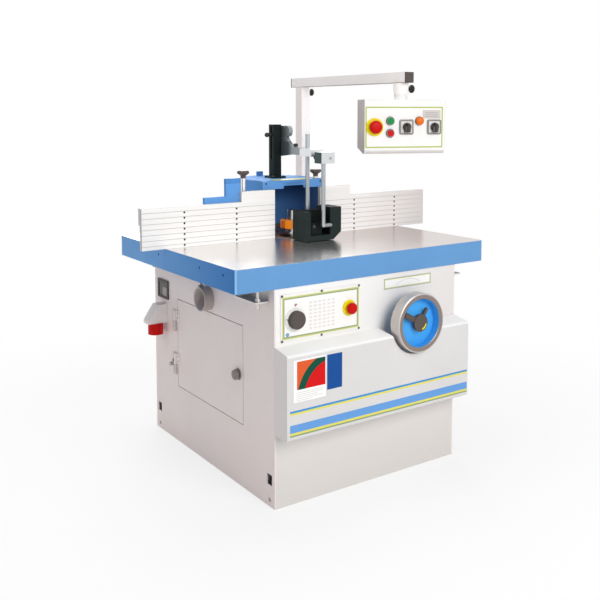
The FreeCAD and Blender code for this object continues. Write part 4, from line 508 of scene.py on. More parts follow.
# %% Bare metals
ALONG_Z, ALONG_BAR, ALONG_X = (700, 700, 6), (900, 900, 5), (4, 700, 700)
finishes.update({
    "turned": metal("turned_steel", rgb(205, 204, 200), ALONG_Z, 0.28),
    "bar": metal("drawn_bar", rgb(158, 163, 166), ALONG_BAR, 0.3),
    "clamp": metal("clamp_alloy", rgb(206, 209, 210), (220, 220, 220), 0.36, 0.0012, 0.15),
    "bracket": metal("bracket_steel", rgb(206, 201, 198), (200, 200, 200), 0.45),
    "ground": metal("ground_steel", rgb(214, 212, 208), ALONG_X, 0.22),
    "bezel": metal("bezel_alloy", rgb(112, 110, 110), (500, 500, 500), 0.4),
    "screw": metal("dark_screw", rgb(104, 98, 95), (500, 500, 500), 0.4, 0.0003),
    "bolt": metal("zinc_bolt", rgb(178, 178, 176), (300, 300, 300), 0.38, 0.0004),
    "chrome": metal("chrome_ring", rgb(190, 192, 194), (400, 400, 400), 0.16, 0.0003),
})
print(len(finishes), "finishes with the metals")

# %% [markdown]
# Knobs, buttons, caps and the spout are moulded. The buttons and lenses have a finer grain than the knobs and a
# thin clear coat, which makes them look wet beside the dull black ones.

# %% Plastics and rubber
FINE_GRAIN = 900.0
BUTTON = (FINE_GRAIN, 0.03, 0.02)
finishes.update({
    "black": plastic("black_plastic", rgb(46, 43, 42), 0.45),
    "dial": plastic("dial_plastic", rgb(82, 74, 70), 0.45),
    "grey": plastic("grey_plastic", rgb(180, 170, 166), 0.5),
    "inlet": plastic("inlet_plastic", rgb(248, 240, 237), 0.5),
    "knob_grey": plastic("knob_grey", rgb(140, 131, 127), 0.45),
    "shoe": plastic("shoe_plastic", rgb(24, 36, 35), 0.5, gloss=0.16),
    "red": plastic("red_plastic", rgb(204, 14, 12), 0.36, *BUTTON, gloss=0.1),
    "yellow": plastic("yellow_plastic", rgb(240, 220, 26), 0.36, *BUTTON, gloss=0.12),
    "green": plastic("green_plastic", rgb(8, 140, 62), 0.34, *BUTTON, gloss=0.12),
    "belt": plastic("belt_rubber", rgb(32, 32, 33), 0.7, 300.0, 0.4),
    "cap": plastic("cap_plastic", rgb(84, 76, 73), 0.5),
    "lens_red": plastic("lens_red", rgb(196, 36, 30), 0.15, FINE_GRAIN, 0.02, 0.6),
    "lens_orange": plastic("lens_orange", rgb(232, 110, 14), 0.25, 500.0, 0.2, 0.1, gloss=0.12),
    "plug_blue": plastic("plug_blue", rgb(122, 164, 200), 0.35, FINE_GRAIN, 0.05, 0.2),
    "pane": plastic("window_pane", rgb(50, 46, 43), 0.14, FINE_GRAIN, 0.01, 0.2),
})
print(len(finishes), "finishes with the plastics")

# %% [markdown]
# ## Masks
# Some pieces have a second finish on part of them, or a face that looks lighter or darker than the rest. A mask is
# a number from nought to one over the piece. Here every mask is made from Object coordinates, which are the places
# on the machine in metres. A ramp along one axis marks all that lies beyond a place, and a product of ramps marks a
# face.

# %% Masks along an axis
def coordinate(tree, axis):
    """One Object coordinate as a number, along X, Y, Z or a direction given as a vector."""
    place = new_node(tree, "ShaderNodeTexCoord")
    if isinstance(axis, str):
        split = new_node(tree, "ShaderNodeSeparateXYZ")
        link(tree, place, "Object", split, 0)
        return split, "XYZ".index(axis)
    along = new_node(tree, "ShaderNodeVectorMath", {1: axis}, operation="DOT_PRODUCT")
    link(tree, place, "Object", along, 0)
    return along, "Value"


def times(tree, *masks):
    """The product of masks."""
    whole = masks[0]
    for mask in masks[1:]:
        both = new_node(tree, "ShaderNodeMath", operation="MULTIPLY")
        link(tree, whole, 0, both, 0)
        link(tree, mask, 0, both, 1)
        whole = both
    return whole


def ramps(*steps):
    """A mask that is the product of ramps, each an axis with the places where it begins and is full."""
    return lambda tree: times(
        tree, *(map_range(tree, *coordinate(tree, axis), low, high) for axis, low, high in steps))


print("masks along an axis ready")

# %% [markdown]
# Round pieces need the distance from their own axis instead. A mapping moves the places to the axis and flattens
# them along it, and what is left has the distance as its length.

# %% Masks round an axis
def from_axis(centre, flatten, *steps):
    """A mask by the distance from an axis; the places are flattened along it. Each step begins and is full."""
    def mask(tree):
        place = new_node(tree, "ShaderNodeTexCoord")
        shift = tuple(-c * f for c, f in zip(centre, flatten))
        moved = new_node(tree, "ShaderNodeMapping", {"Location": shift, "Scale": flatten})
        reach = new_node(tree, "ShaderNodeVectorMath", operation="LENGTH")
        link(tree, place, "Object", moved, "Vector")
        link(tree, moved, 0, reach, 0)
        return times(tree, *(map_range(tree, reach, "Value", low, high) for low, high in steps))
    return mask


def all_of(*masks):
    """A mask that is the product of other masks."""
    return lambda tree: times(tree, *(mask(tree) for mask in masks))


print("masks round an axis ready")

# %% [markdown]
# A tint lays another colour over a finish where a mask is full. It takes whatever feeds the shader's colour now and
# puts a mix in between, so tints can be stacked. The metal can be taken out of a finish in the same way.

# %% Tints
def tint(finish, colour, mask):
    """Mixes another colour over a finish where a mask is full."""
    tree = finish.node_tree
    shader = tree.nodes["Principled BSDF"]
    base = shader.inputs["Base Color"].links[0]
    output = list(base.from_node.outputs).index(base.from_socket)
    mixed = mix_colour(tree, mask(tree), (base.from_node, output), colour)
    link(tree, mixed, MIXED, shader, "Base Color")
    return finish


def dull(finish, mask):
    """Takes the metal out of a finish where a mask is full."""
    tree = finish.node_tree
    shader = tree.nodes["Principled BSDF"]
    left = new_node(tree, "ShaderNodeMath", operation="SUBTRACT", use_clamp=True)
    link(tree, shader.inputs["Metallic"].links[0].from_node, 0, left, 0)
    link(tree, mask(tree), 0, left, 1)
    link(tree, left, 0, shader, "Metallic")


print("tints ready")

# %% [markdown]
# A finish of two parts goes further: paint where its mask is empty, machined steel where it is full, each with its
# own gloss. The steel's bump is level, because dimples in a mirror would show at once.

# %% Two-part finishes
LEVEL_BUMP = 0.5


def two_finishes(name, steel_mask, colour, along, steel, roughness, metallic=1.0):
    """Paint outside a mask and machined steel within it, in one material."""
    finish, tree, shader, relief = new_finish(name, soft_edge=0.0012, bump=0.06, depth=0.0002)
    coat = use_group(tree, sprayed_paint, Colour=colour, Cloudiness=0.05, Gloss_roughness=0.36)
    face = machined(tree, steel, along, roughness)
    mask = steel_mask(tree)
    colours = mix_colour(tree, mask, (coat, "Colour"), (face, "Colour"))
    gloss = new_node(tree, "ShaderNodeMix", data_type="FLOAT")
    link(tree, coat, "Roughness", gloss, 2)
    link(tree, face, "Roughness", gloss, 3)
    texture = new_node(tree, "ShaderNodeMix", {3: LEVEL_BUMP}, data_type="FLOAT")
    link(tree, coat, "Dimples", texture, 2)
    shine = new_node(tree, "ShaderNodeMath", {1: metallic}, operation="MULTIPLY")
    for part in (gloss, texture, shine):
        link(tree, mask, 0, part, 0)
    join_shader(tree, shader, relief, (colours, MIXED), (gloss, 0), (texture, 0))
    link(tree, shine, 0, shader, "Metallic")
    shader.inputs["Specular IOR Level"].default_value = 0.2
    return finish


print("two-part finishes ready")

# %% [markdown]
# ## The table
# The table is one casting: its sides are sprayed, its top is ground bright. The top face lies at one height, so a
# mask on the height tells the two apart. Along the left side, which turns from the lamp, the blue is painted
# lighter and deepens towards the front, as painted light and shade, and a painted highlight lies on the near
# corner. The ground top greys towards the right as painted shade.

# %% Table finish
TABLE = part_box("table")
TOP_SEAM = (TABLE[1].z - 0.0007, TABLE[1].z - 0.0003)
ground_top = ("Z", *TOP_SEAM)
painted = ("Z", *reversed(TOP_SEAM))
left_face = ("X", TABLE[0].x + 0.002, TABLE[0].x + 0.001)
corner_highlight = (("X", TABLE[0].x + 0.009, TABLE[0].x + 0.006), ("Y", TABLE[0].y + 0.008, TABLE[0].y + 0.005))
shade_towards_right, shade_towards_front = ("X", -0.15, 0.35), ("Y", 0.2, TABLE[0].y)
table_finish = two_finishes(
    "table_casting", ramps(ground_top), rgb(100, 152, 203), (5, 600, 600), rgb(236, 233, 231), 0.24)
# painted shade: the ground top greys towards the right
tint(table_finish, rgb(206, 196, 193), ramps(shade_towards_right, ground_top))
# painted light and shade: the left face has a lighter blue that deepens towards the front
tint(table_finish, rgb(96, 160, 222), ramps(left_face, painted))
tint(table_finish, rgb(28, 116, 190), ramps(left_face, painted, shade_towards_front))
# painted highlight: a paler blue on the near corner
tint(table_finish, rgb(150, 196, 236), ramps(*corner_highlight, painted))
finishes["table"] = table_finish
print("table finish: ground above", round(TOP_SEAM[0], 4), "m")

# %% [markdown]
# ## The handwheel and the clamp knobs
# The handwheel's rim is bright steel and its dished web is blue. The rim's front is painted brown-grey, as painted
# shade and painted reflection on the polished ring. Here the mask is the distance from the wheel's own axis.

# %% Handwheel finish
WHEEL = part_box("handwheel")
WHEEL_AXIS = ((WHEEL[0].x + WHEEL[1].x) / 2, 0, (WHEEL[0].z + WHEEL[1].z) / 2)
FLAT_Y = (1, 0, 1)
RIM_RADIUS = (WHEEL[1].x - WHEEL[0].x) / 2
WEB_EDGE = (0.0934, 0.0938)
RIM_EDGE = (RIM_RADIUS - 0.004, RIM_RADIUS - 0.006)
wheel_finish = two_finishes(
    "wheel_finish", from_axis(WHEEL_AXIS, FLAT_Y, WEB_EDGE), rgb(72, 168, 234), (300, 6, 300),
    rgb(202, 195, 192), 0.3, 0.8)
# painted shade and painted reflection: the rim's front is brown-grey
finishes["wheel"] = tint(wheel_finish, rgb(142, 130, 124), from_axis(WHEEL_AXIS, FLAT_Y, WEB_EDGE, RIM_EDGE))
print("wheel finish: rim radius", round(RIM_RADIUS, 4), "m")

# %% [markdown]
# The clamp knobs are dark plastic on a bright stud. Each is one solid, so a height parts the two finishes: it is
# measured from the top of the knob, because the two knobs stand at different heights.

# %% Clamp knob finishes
KNOB_HEIGHT = 0.032
STUD_SEAM = 0.0002
for side in ("left", "right"):
    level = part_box(side + "_clamp_knob")[1].z - KNOB_HEIGHT
    finishes[side + "_knob"] = two_finishes(
        side + "_knob_finish", ramps(("Z", level, level - STUD_SEAM)), rgb(92, 81, 77), (600, 600, 8),
        rgb(225, 222, 216), 0.3)
    print(side, "stud ends at", round(level, 4), "m")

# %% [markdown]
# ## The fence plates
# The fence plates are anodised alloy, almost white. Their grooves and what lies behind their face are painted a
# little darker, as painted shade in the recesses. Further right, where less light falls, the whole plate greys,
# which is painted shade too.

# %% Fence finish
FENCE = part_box("left_fence_plate")
GROOVE_FLOOR = (FENCE[0].y + 0.0006, FENCE[0].y + 0.0024)
FENCE_BACK = (FENCE[0].y + 0.006, FENCE[0].y + 0.008)
FENCE_RIGHT = (0.36, 0.76)
fence_finish, tree, shader, relief = new_finish("fence_anodised", soft_edge=0.0005, bump=0.05, depth=0.0002)
face = machined(tree, rgb(243, 241, 239), (4, 500, 500), 0.5)
join_shader(tree, shader, relief, (face, "Colour"), (face, "Roughness"), (face, "Streaks"))
shader.inputs["Specular IOR Level"].default_value = 0.3
# painted shade: the groove floors, what lies behind the face, and the right of the plate are darker
tint(fence_finish, rgb(150, 146, 142), ramps(("Y", *GROOVE_FLOOR)))
tint(fence_finish, rgb(214, 206, 202), ramps(("X", *FENCE_RIGHT)))
tint(fence_finish, rgb(212, 209, 206), ramps(("Y", *FENCE_BACK)))
finishes["fence"] = fence_finish
print("fence finish:", fence_finish.name)

# %% [markdown]
# ## The presser
# The presser's arm is a dark casting beside its column and is machined bright towards the rods, with a bright disc
# on top. The clamp that holds the rods is dark on its left and on its back, and the shoe's recess is painted nearly
# black, as painted shade.

# %% Presser finishes
ROD_SIDE, DISC_SEAM, ARM_NOSE = ("Y", 0.082, 0.052), ("Z", 1.296, 1.298), ("Y", -0.066, -0.072)
CLAMP_LEFT, CLAMP_BACK = ("X", -0.0258, -0.0272), ("Y", -0.1882, -0.187)
SHOE_RECESS = (("X", -0.078, -0.072), ("Y", -0.2, -0.192))


def bright_part(tree):
    """Full near the rods and on the disc."""
    either = new_node(tree, "ShaderNodeMath", operation="MAXIMUM")
    link(tree, ramps(ROD_SIDE)(tree), 0, either, 0)
    link(tree, ramps(DISC_SEAM)(tree), 0, either, 1)
    return either


finishes["alloy"] = two_finishes(
    "presser_casting", bright_part, rgb(74, 83, 85), (160, 160, 160), rgb(150, 157, 159), 0.4)
tint(finishes["alloy"], rgb(224, 226, 227), ramps(ARM_NOSE))
tint(finishes["clamp"], rgb(70, 82, 83), ramps(CLAMP_LEFT))
tint(finishes["clamp"], rgb(58, 70, 71), ramps(CLAMP_BACK))
# painted shade: the shoe's recess is nearly black
tint(finishes["shoe"], rgb(9, 15, 15), ramps(*SHOE_RECESS))
print("presser finishes ready")

# %% [markdown]
# ## Faces that look lighter or darker
# Sheet metal is one colour, yet its faces are not, so their light and shade are painted on. The front panel greys
# towards the floor and the right as painted shade, the shoulder of its cover is painted paler as light and its left
# end darker as shade, the beam's underside, the post's left face and the box's foot lie in painted shade, and the
# spout is painted pale inside, as light. A tint for each face keeps the lamps simple.

# %% Tinted faces of the cabinet and the arm
COVER, SPOUT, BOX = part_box("front_cover"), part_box("dust_spout"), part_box("control_box")
BEAM_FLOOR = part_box("arm_end_caps")[0].z
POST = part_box("arm_post")
POST_TUBE = 0.05
POST_LEFT = (POST[0].x + POST[1].x - POST_TUBE) / 2
SPOUT_AXIS = (0, (SPOUT[0].y + SPOUT[1].y) / 2, (SPOUT[0].z + SPOUT[1].z) / 2)
SPOUT_WALL = (0.0456, 0.0448)
shaded_panel_right, shaded_panel_foot = ("X", -0.1, 0.42), ("Z", 0.36, 0.26)
shoulder = ("Z", COVER[1].z - 0.024, COVER[1].z - 0.014)
shaded_cover_left = ("X", COVER[0].x + 0.003, COVER[0].x + 0.001)
underside = (("Z", BEAM_FLOOR + 0.003, BEAM_FLOOR + 0.001), ("Z", BEAM_FLOOR - 0.002, BEAM_FLOOR - 0.0005))
shaded_post_left = ("X", POST_LEFT + 0.003, POST_LEFT + 0.001)
shaded_box_foot = ("Z", BOX[0].z + 0.014, BOX[0].z)
# painted shade on the panel, cover's left end, beam, post and box foot; painted light on the shoulder and spout
tint(finishes["front"], rgb(222, 217, 215), ramps(shaded_panel_right))
tint(finishes["front"], rgb(218, 213, 209), ramps(shaded_panel_foot))
tint(finishes["cover"], rgb(248, 247, 246), ramps(shoulder))
tint(finishes["cover"], rgb(231, 224, 222), ramps(shaded_cover_left))
tint(finishes["beam"], rgb(158, 147, 143), ramps(*underside))
tint(finishes["arm"], rgb(201, 190, 187), ramps(shaded_post_left))
tint(finishes["box"], rgb(204, 198, 195), ramps(shaded_box_foot))
tint(finishes["grey"], rgb(218, 207, 202), from_axis(SPOUT_AXIS, (0, 1, 1), SPOUT_WALL))
print("tinted faces, post's left at", round(POST_LEFT, 4), "m")

# %% [markdown]
# Inside the hood the blue deepens upwards, out of the light, as painted shade. Near the table its wall and the
# table itself are painted brown-grey, and the table there loses its metal: painted shade where the hood covers
# them. The hood's roof is painted a deeper blue, painted shade on its top. The mask is the space within the hood's
# round wall, behind its fascia and below its roof.

# %% Inside of the hood
COLUMN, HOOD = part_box("presser_column"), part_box("fence_hood")
ROOF = COLUMN[0].z
HOOD_AXIS = (0, (COLUMN[0].y + COLUMN[1].y) / 2, 0)
HOOD_WALL = (0.1535, 0.1525)
shaded_roof_top, high_wall, shaded_wall_foot = ("Z", ROOF - 0.0011, ROOF - 0.0003), ("Z", 1.0, 1.11), ("Z", 0.91, 0.902)


def hood_inside(*steps):
    """Full in the hood's inner space, times some ramps."""
    behind_fascia = ("Y", HOOD[0].y + 0.011, HOOD[0].y + 0.013)
    below_roof = ("Z", ROOF - 0.011, ROOF - 0.012)
    return all_of(from_axis(HOOD_AXIS, (1, 1, 0), HOOD_WALL), ramps(behind_fascia, below_roof, *steps))


# painted shade: the roof, the upper inner wall, the wall's foot and the table inside the hood are darker
tint(finishes["hood"], rgb(84, 140, 204), ramps(shaded_roof_top))
tint(finishes["hood"], rgb(52, 96, 150), hood_inside(high_wall))
tint(finishes["hood"], rgb(124, 113, 107), hood_inside(shaded_wall_foot))
tint(finishes["table"], rgb(120, 109, 103), hood_inside())
dull(finishes["table"], hood_inside())
print("hood: roof at", round(ROOF, 4), "m")

# %% [markdown]
# ## Dressing
# Every solid gets its finish from one list. A list is easier to check than sixty lines of code, and the last line
# tells which solids were forgotten.

# %% Dress the solids
dress = {
    "front": "front_panel",
    "cover": "front_cover",
    "side": "left_side_panel right_side_panel rear_cover base_frame door_panel",
    "arm": "arm_post",
    "beam": "swivel_arm",
    "box": "control_box",
    "plate": "control_plate",
    "hood": "fence_hood fence_carriers",
    "table": "table",
    "wheel": "handwheel",
    "casting": "guide_bracket lift_carriage",
    "motor": "motor",
    "column": "presser_column",
    "cutter": "cutter_block",
    "fence": "left_fence_plate right_fence_plate",
    "turned": "spindle_shaft spacer_rings spindle_nut spindle_pulley motor_pulley lift_screw handwheel_shaft",
    "ground": "cutter_knives",
    "rings": "table_rings",
    "bar": "presser_rods",
    "alloy": "presser_arm",
    "clamp": "rod_clamps",
    "hinge": "door_hinges",
    "bracket": "table_brackets",
    "knob_grey": "door_knob",
    "dial": "front_dial",
    "black": "left_selector right_selector column_knob arm_knob box_knob",
    "cap": "crank_handle arm_end_caps side_window",
    "grey": "dust_spout",
    "inlet": "inlet_housing",
    "bezel": "box_bezels",
    "shoe": "presser_shoe",
    "red": "inlet_collar front_stop_cap box_stop_cap red_button",
    "yellow": "front_stop_collar box_stop_collar",
    "green": "green_button",
    "belt": "drive_belt",
    "left_knob": "left_clamp_knob",
    "right_knob": "right_clamp_knob",
}
for finish, names in dress.items():
    for name in names.split():
        nodes[name].data.materials.clear()
        nodes[name].data.materials.append(finishes[finish])
undressed = set(nodes) - set(" ".join(dress.values()).split())
print("dressed", len(nodes) - len(undressed), "solids, left:", sorted(undressed))

# %% [markdown]
# ## The bench
# Small fittings are modelled flat on an imaginary bench: x to the right, y up and z towards the eye. Everything
# starts from a primitive that is shaped in edit mode. The solids stay selected after loading, so every start first
# clears the selection.

# %% Starting a piece
def clear_bench():
    """Leaves edit mode and selects nothing."""
    if bpy.context.mode == "EDIT_MESH":
        bpy.ops.object.mode_set(mode="OBJECT")
    bpy.ops.object.select_all(action="DESELECT")


def start(name, kind, looks, **settings):
    """Adds a primitive with nothing else selected, gives it its finishes and opens it in edit mode."""
    clear_bench()
    getattr(bpy.ops.mesh, f"primitive_{kind}_add")(**settings)
    piece = bpy.context.object
    piece.name = name
    bpy.ops.object.transform_apply(location=True, rotation=True, scale=True)
    for look in looks:
        piece.data.materials.append(finishes[look])
    bpy.ops.object.mode_set(mode="EDIT")
    bpy.ops.mesh.select_mode(type="VERT")
    bpy.ops.mesh.select_all(action="SELECT")
    return piece


print("bench cleared")

# %% [markdown]
# Faces are picked by their place or their normal, so that the script finds them again on every run. What is picked
# can be coloured or drawn out, and a closed shell is tidied before it leaves the bench: doubled points are merged
# and all faces are turned outwards.

# %% Shaping a piece
MM = 0.001
SAME_PLACE = 0.000002


def pick(piece, test):
    """In edit mode, selects the faces whose middle and normal pass a test."""
    bpy.ops.mesh.select_mode(type="FACE")
    bpy.ops.mesh.select_all(action="DESELECT")
    mesh = bmesh.from_edit_mesh(piece.data)
    for face in mesh.faces:
        face.select_set(bool(test(face.calc_center_median(), face.normal)))
    bmesh.update_edit_mesh(piece.data)


def looks_up(_, normal):
    """A test for the faces that look up from the bench, wherever they are."""
    return normal.z > 0.9


def colour_faces(piece, index):
    """Gives the selected faces one of the piece's finishes."""
    piece.active_material_index = index
    bpy.ops.object.material_slot_assign()


def draw_out(x, y, z):
    """Extrudes what is selected by a step in millimetres."""
    bpy.ops.mesh.extrude_region_move(TRANSFORM_OT_translate={"value": (MM * x, MM * y, MM * z)})


def tidy_shell():
    """Merges doubled points and turns every face outwards."""
    bpy.ops.mesh.select_all(action="SELECT")
    bpy.ops.mesh.remove_doubles(threshold=SAME_PLACE)
    bpy.ops.mesh.normals_make_consistent(inside=False)


print("bench ready, lengths times", MM)

# %% [markdown]
# A finished fitting is turned to face the way its panel faces and carried to its place. The move is then applied to
# its mesh, so that its Object coordinates are places on the machine like those of the solids. It rides on the body
# that carries it, and so follows the joints.

# %% Fitting a piece
QUARTER = math.radians(90)
BOX_TURN = math.radians(-20)
FACING = {
    "front": (QUARTER, 0, 0),
    "left": (QUARTER, 0, -QUARTER),
    "right": (QUARTER, 0, QUARTER),
    "back": (QUARTER, 0, 2 * QUARTER),
    "top": (0, 0, 0),
    "under": (2 * QUARTER, 0, 0),
    "box": (QUARTER, 0, BOX_TURN),
    "box_back": (QUARTER, 0, BOX_TURN + 2 * QUARTER),
}


def choose(piece):
    """Makes a piece the only one that is selected and active."""
    clear_bench()
    piece.select_set(True)
    bpy.context.view_layer.objects.active = piece


def fit(piece, facing, place, body, angle=35):
    """Leaves edit mode, turns and carries the piece to its place in millimetres, and lets it ride on a body."""
    choose(piece)
    piece.rotation_euler = FACING[facing]
    piece.location = [MM * c for c in place]
    bpy.ops.object.transform_apply(location=True, rotation=True, scale=True)
    bpy.ops.object.shade_smooth_by_angle(angle=math.radians(angle))
    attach(piece, body)
    return piece


print("pieces can face:", ", ".join(FACING))

# %% [markdown]
# Repeated fittings are copies of one pattern, each with its own mesh. The pattern itself is thrown away at the end.
# Many places are given by a face of a solid, so two helpers read them from the frame instead of repeating numbers.

# %% Copying, and places from the solids
def repeat(pattern, name, place, facing, body):
    """A copy of a pattern that is still on the bench, fitted elsewhere."""
    choose(pattern)
    bpy.ops.object.duplicate(linked=False)
    copy = bpy.context.object
    copy.name = name
    return fit(copy, facing, place, body)


def scrap(*patterns):
    """Throws away patterns that were only copied."""
    for pattern in patterns:
        bpy.data.objects.remove(pattern)


def edge(solid, side):
    """Where a solid ends, in millimetres; the side is a sign and an axis, such as -x."""
    return round(getattr(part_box(solid)[side[0] == "+"], side[1]) / MM, 2)


def middle(solid, axis):
    """The middle of a solid along an axis, in millimetres."""
    return (edge(solid, "-" + axis) + edge(solid, "+" + axis)) / 2


PANEL_FACE, COVER_FACE = edge("front_panel", "-y"), edge("front_cover", "-y")
SIDE_FACE = edge("left_side_panel", "-x")
print("front panel at", PANEL_FACE, "cover at", COVER_FACE, "left side at", SIDE_FACE, "mm")

# %% [markdown]
# Round fittings are turned, as on a lathe. A point is drawn out along half of the outline and the outline is spun
# round the bench's upright axis. A recess is cut with a boolean that is applied at once, so that the mesh is final.

# %% Turning and cutting
def start_point(name, looks, radius, height=0):
    """A single point at a radius and a height, ready to be drawn out."""
    piece = start(name, "plane", looks, size=2 * MM)
    bpy.ops.mesh.merge(type="CENTER")
    bpy.ops.transform.translate(value=(MM * radius, 0, MM * height))
    return piece


def turned(name, profile, looks, steps=28):
    """A turned piece: a profile of radius and height in millimetres, drawn out point by point and spun."""
    piece = start_point(name, looks, *profile[0])
    for (r0, z0), (r1, z1) in zip(profile, profile[1:]):
        draw_out(r1 - r0, 0, z1 - z0)
    bpy.ops.mesh.select_all(action="SELECT")
    bpy.ops.mesh.spin(steps=steps, angle=4 * QUARTER, center=(0, 0, 0), axis=(0, 0, 1))
    tidy_shell()
    return piece


def cut_socket(piece, sides, radius, top, depth, centre=(0, 0)):
    """Cuts a straight-sided recess into the top of a piece with a boolean that is applied at once."""
    clear_bench()
    bpy.ops.mesh.primitive_cylinder_add(
        vertices=sides, radius=MM * radius, depth=2 * MM * depth,
        location=(MM * centre[0], MM * centre[1], MM * top))
    tool = bpy.context.object
    modifier = piece.modifiers.new("socket", "BOOLEAN")
    modifier.operation = "DIFFERENCE"
    modifier.object = tool
    bpy.context.view_layer.objects.active = piece
    bpy.ops.object.modifier_apply(modifier="socket")
    bpy.data.objects.remove(tool)
    return piece


print("lathe ready")

# %% [markdown]
# ## Printed plates
# Printed plates, cards and stripes need colours of their own. An ink is a paint without wear, nearly even, with a
# soft sheen, so one list of colours is enough to make them all.

# %% Inks
INKS = {
    "foil_white": (244, 242, 240),
    "line_blue": (156, 170, 180),
    "line_green": (142, 160, 118),
    "line_lime": (192, 197, 126),
    "line_pale": (230, 230, 178),
    "line_yellow": (226, 218, 104),
    "band_blue": (104, 158, 218),
    "bright_blue": (70, 146, 206),
    "label_blue": (24, 78, 148),
    "pale_grey": (204, 198, 194),
    "mark_yellow": (226, 214, 44),
    "line_dark": (112, 105, 101),
    "line_olive": (160, 180, 88),
    "line_grey": (172, 166, 162),
    "selector_white": (226, 223, 220),
    "note_grey": (208, 201, 197),
}
for name, colour in INKS.items():
    finishes[name] = paint("ink_" + name, rgb(*colour), cloudiness=0.03, wear=0.0, soft_edge=0.0004, gloss=0.1)
print(len(INKS), "inks")

# %% [markdown]
# A printed plate is a thin sheet with lines round its border. One flat plane is enough to begin with: its corners
# are bevelled, it is raised to the sheet's thickness, and its top is inset once for each line. Each ring that an
# inset leaves behind keeps the finish that was chosen before it.

# %% Maker of printed plates
SHEET = 0.22


def printed_plate(name, width, height, corner, rings, looks, sheet=SHEET):
    """A rounded sheet in millimetres whose border lines are inset one after another."""
    piece = start(name, "plane", looks, size=1)
    bpy.ops.transform.resize(value=(MM * width, MM * height, 1))
    if corner:
        bpy.ops.mesh.bevel(offset=MM * corner, segments=5, affect="VERTICES")
    draw_out(0, 0, sheet)
    tidy_shell()
    pick(piece, looks_up)
    for index, line in enumerate(rings):
        colour_faces(piece, index)
        bpy.ops.mesh.inset(thickness=MM * line)
    colour_faces(piece, len(rings))
    return piece


print("sheets are", SHEET, "mm thick")

# %% [markdown]
# The control plate's foil also carries a faint ruled table. Bars at even steps come from the remainders of the
# Object coordinates, and ramps between two places keep them inside the table.

# %% Ruled foil
PRINT_EDGE, BAR_EDGE = 0.0005, 0.03


def film(name, colour, roughness):
    """Thin white film with a faint sheen."""
    finish, tree, shader, relief = new_finish(name, soft_edge=0.0004, bump=0.05, depth=0.0002)
    coat = use_group(tree, sprayed_paint, Colour=colour, Cloudiness=0.02, Gloss_roughness=roughness)
    join_shader(tree, shader, relief, (coat, "Colour"), (coat, "Roughness"), (coat, "Dimples"))
    shader.inputs["Specular IOR Level"].default_value = 0.1
    return finish


def between(axis, low, high, soft=PRINT_EDGE):
    """The two ramps that leave only what lies between two places."""
    return (axis, low, low + soft), (axis, high, high - soft)


def bars(axis, low, pitch, share):
    """Bars at even steps from a place: full in the first share of each step."""
    def mask(tree):
        step = new_node(tree, "ShaderNodeMath", {1: low + pitch, 2: low}, operation="WRAP")
        link(tree, *coordinate(tree, axis), step, 0)
        return map_range(tree, step, 0, low + pitch * share, low + pitch * (share - BAR_EDGE))
    return mask


RULED_LEFT, RULED_RIGHT, RULED_FOOT, RULED_HEAD = -0.320, -0.198, 0.640, 0.749
FIELD_WIDTH, FIELD_HEIGHT = 0.0203, 0.0136
ruled_fields = all_of(
    bars("X", RULED_LEFT, FIELD_WIDTH, share=0.72), bars("Z", RULED_FOOT, FIELD_HEIGHT, share=0.58),
    ramps(*between("X", RULED_LEFT, RULED_RIGHT), *between("Z", RULED_FOOT, RULED_HEAD)))
finishes["ruled_foil"] = tint(film("ruled_foil", rgb(243, 241, 239), 0.42), rgb(226, 221, 218), ruled_fields)
print("ruled foil:", finishes["ruled_foil"].name)

# %% [markdown]
# The foil lies on the raised control plate. The setting plate beside it lies on the panel itself and has only its
# border. Both are the same kind of piece with other lines.

# %% Plates on the front panel
PLATE_SHEET = 3
PLATE_FACE = PANEL_FACE - PLATE_SHEET
fit(printed_plate("control_foil", 347, 155, 0, (1.6, 4.4, 4.2),
                  ("line_pale", "line_lime", "line_green", "ruled_foil")),
    "front", (-263.5, PLATE_FACE, 694), "machine")
fit(printed_plate("setting_plate", 244, 42, 0, (2.4, 3, 1.2),
                  ("line_blue", "line_lime", "line_pale", "foil_white")),
    "front", (157, PANEL_FACE, 763), "machine")
print("plates on the front panel, control plate's face at", PLATE_FACE, "mm")

# %% [markdown]
# The setting plate shows a faint curved scale. A short edge spun through part of a circle draws it, and a lift
# gives it the thickness of ink.

# %% Curved scale
def curved_strip(name, radius, width, sweep, tilt, looks, sheet=0.1, steps=18):
    """A strip that follows part of a circle round the bench's centre; angles in degrees."""
    piece = start_point(name, looks, radius - width / 2)
    draw_out(width, 0, 0)
    bpy.ops.mesh.select_all(action="SELECT")
    bpy.ops.mesh.spin(steps=steps, angle=-math.radians(sweep), center=(0, 0, 0), axis=(0, 0, 1))
    bpy.ops.mesh.select_all(action="SELECT")
    draw_out(0, 0, sheet)
    tidy_shell()
    bpy.ops.object.mode_set(mode="OBJECT")
    piece.rotation_euler = (0, 0, math.radians(tilt))
    bpy.ops.object.transform_apply(location=True, rotation=True, scale=True)
    return piece


scale_arc = curved_strip("setting_scale", 118, 1.6, 62, 59, ("pale_grey",))
fit(scale_arc, "front", (160, PANEL_FACE - SHEET, 655), "machine")
print("scale:", scale_arc.name)

# %% [markdown]
# ## The cover's card, label and stripes
# On the bulging cover there are a white card with a coloured speed field, a bare blue label, and stripes that run
# the whole width. The field is one material: an arc of dark green parts an orange corner from a red one. Modelling
# the arc would leave slivers as thin as ink, so masks are the better way here.

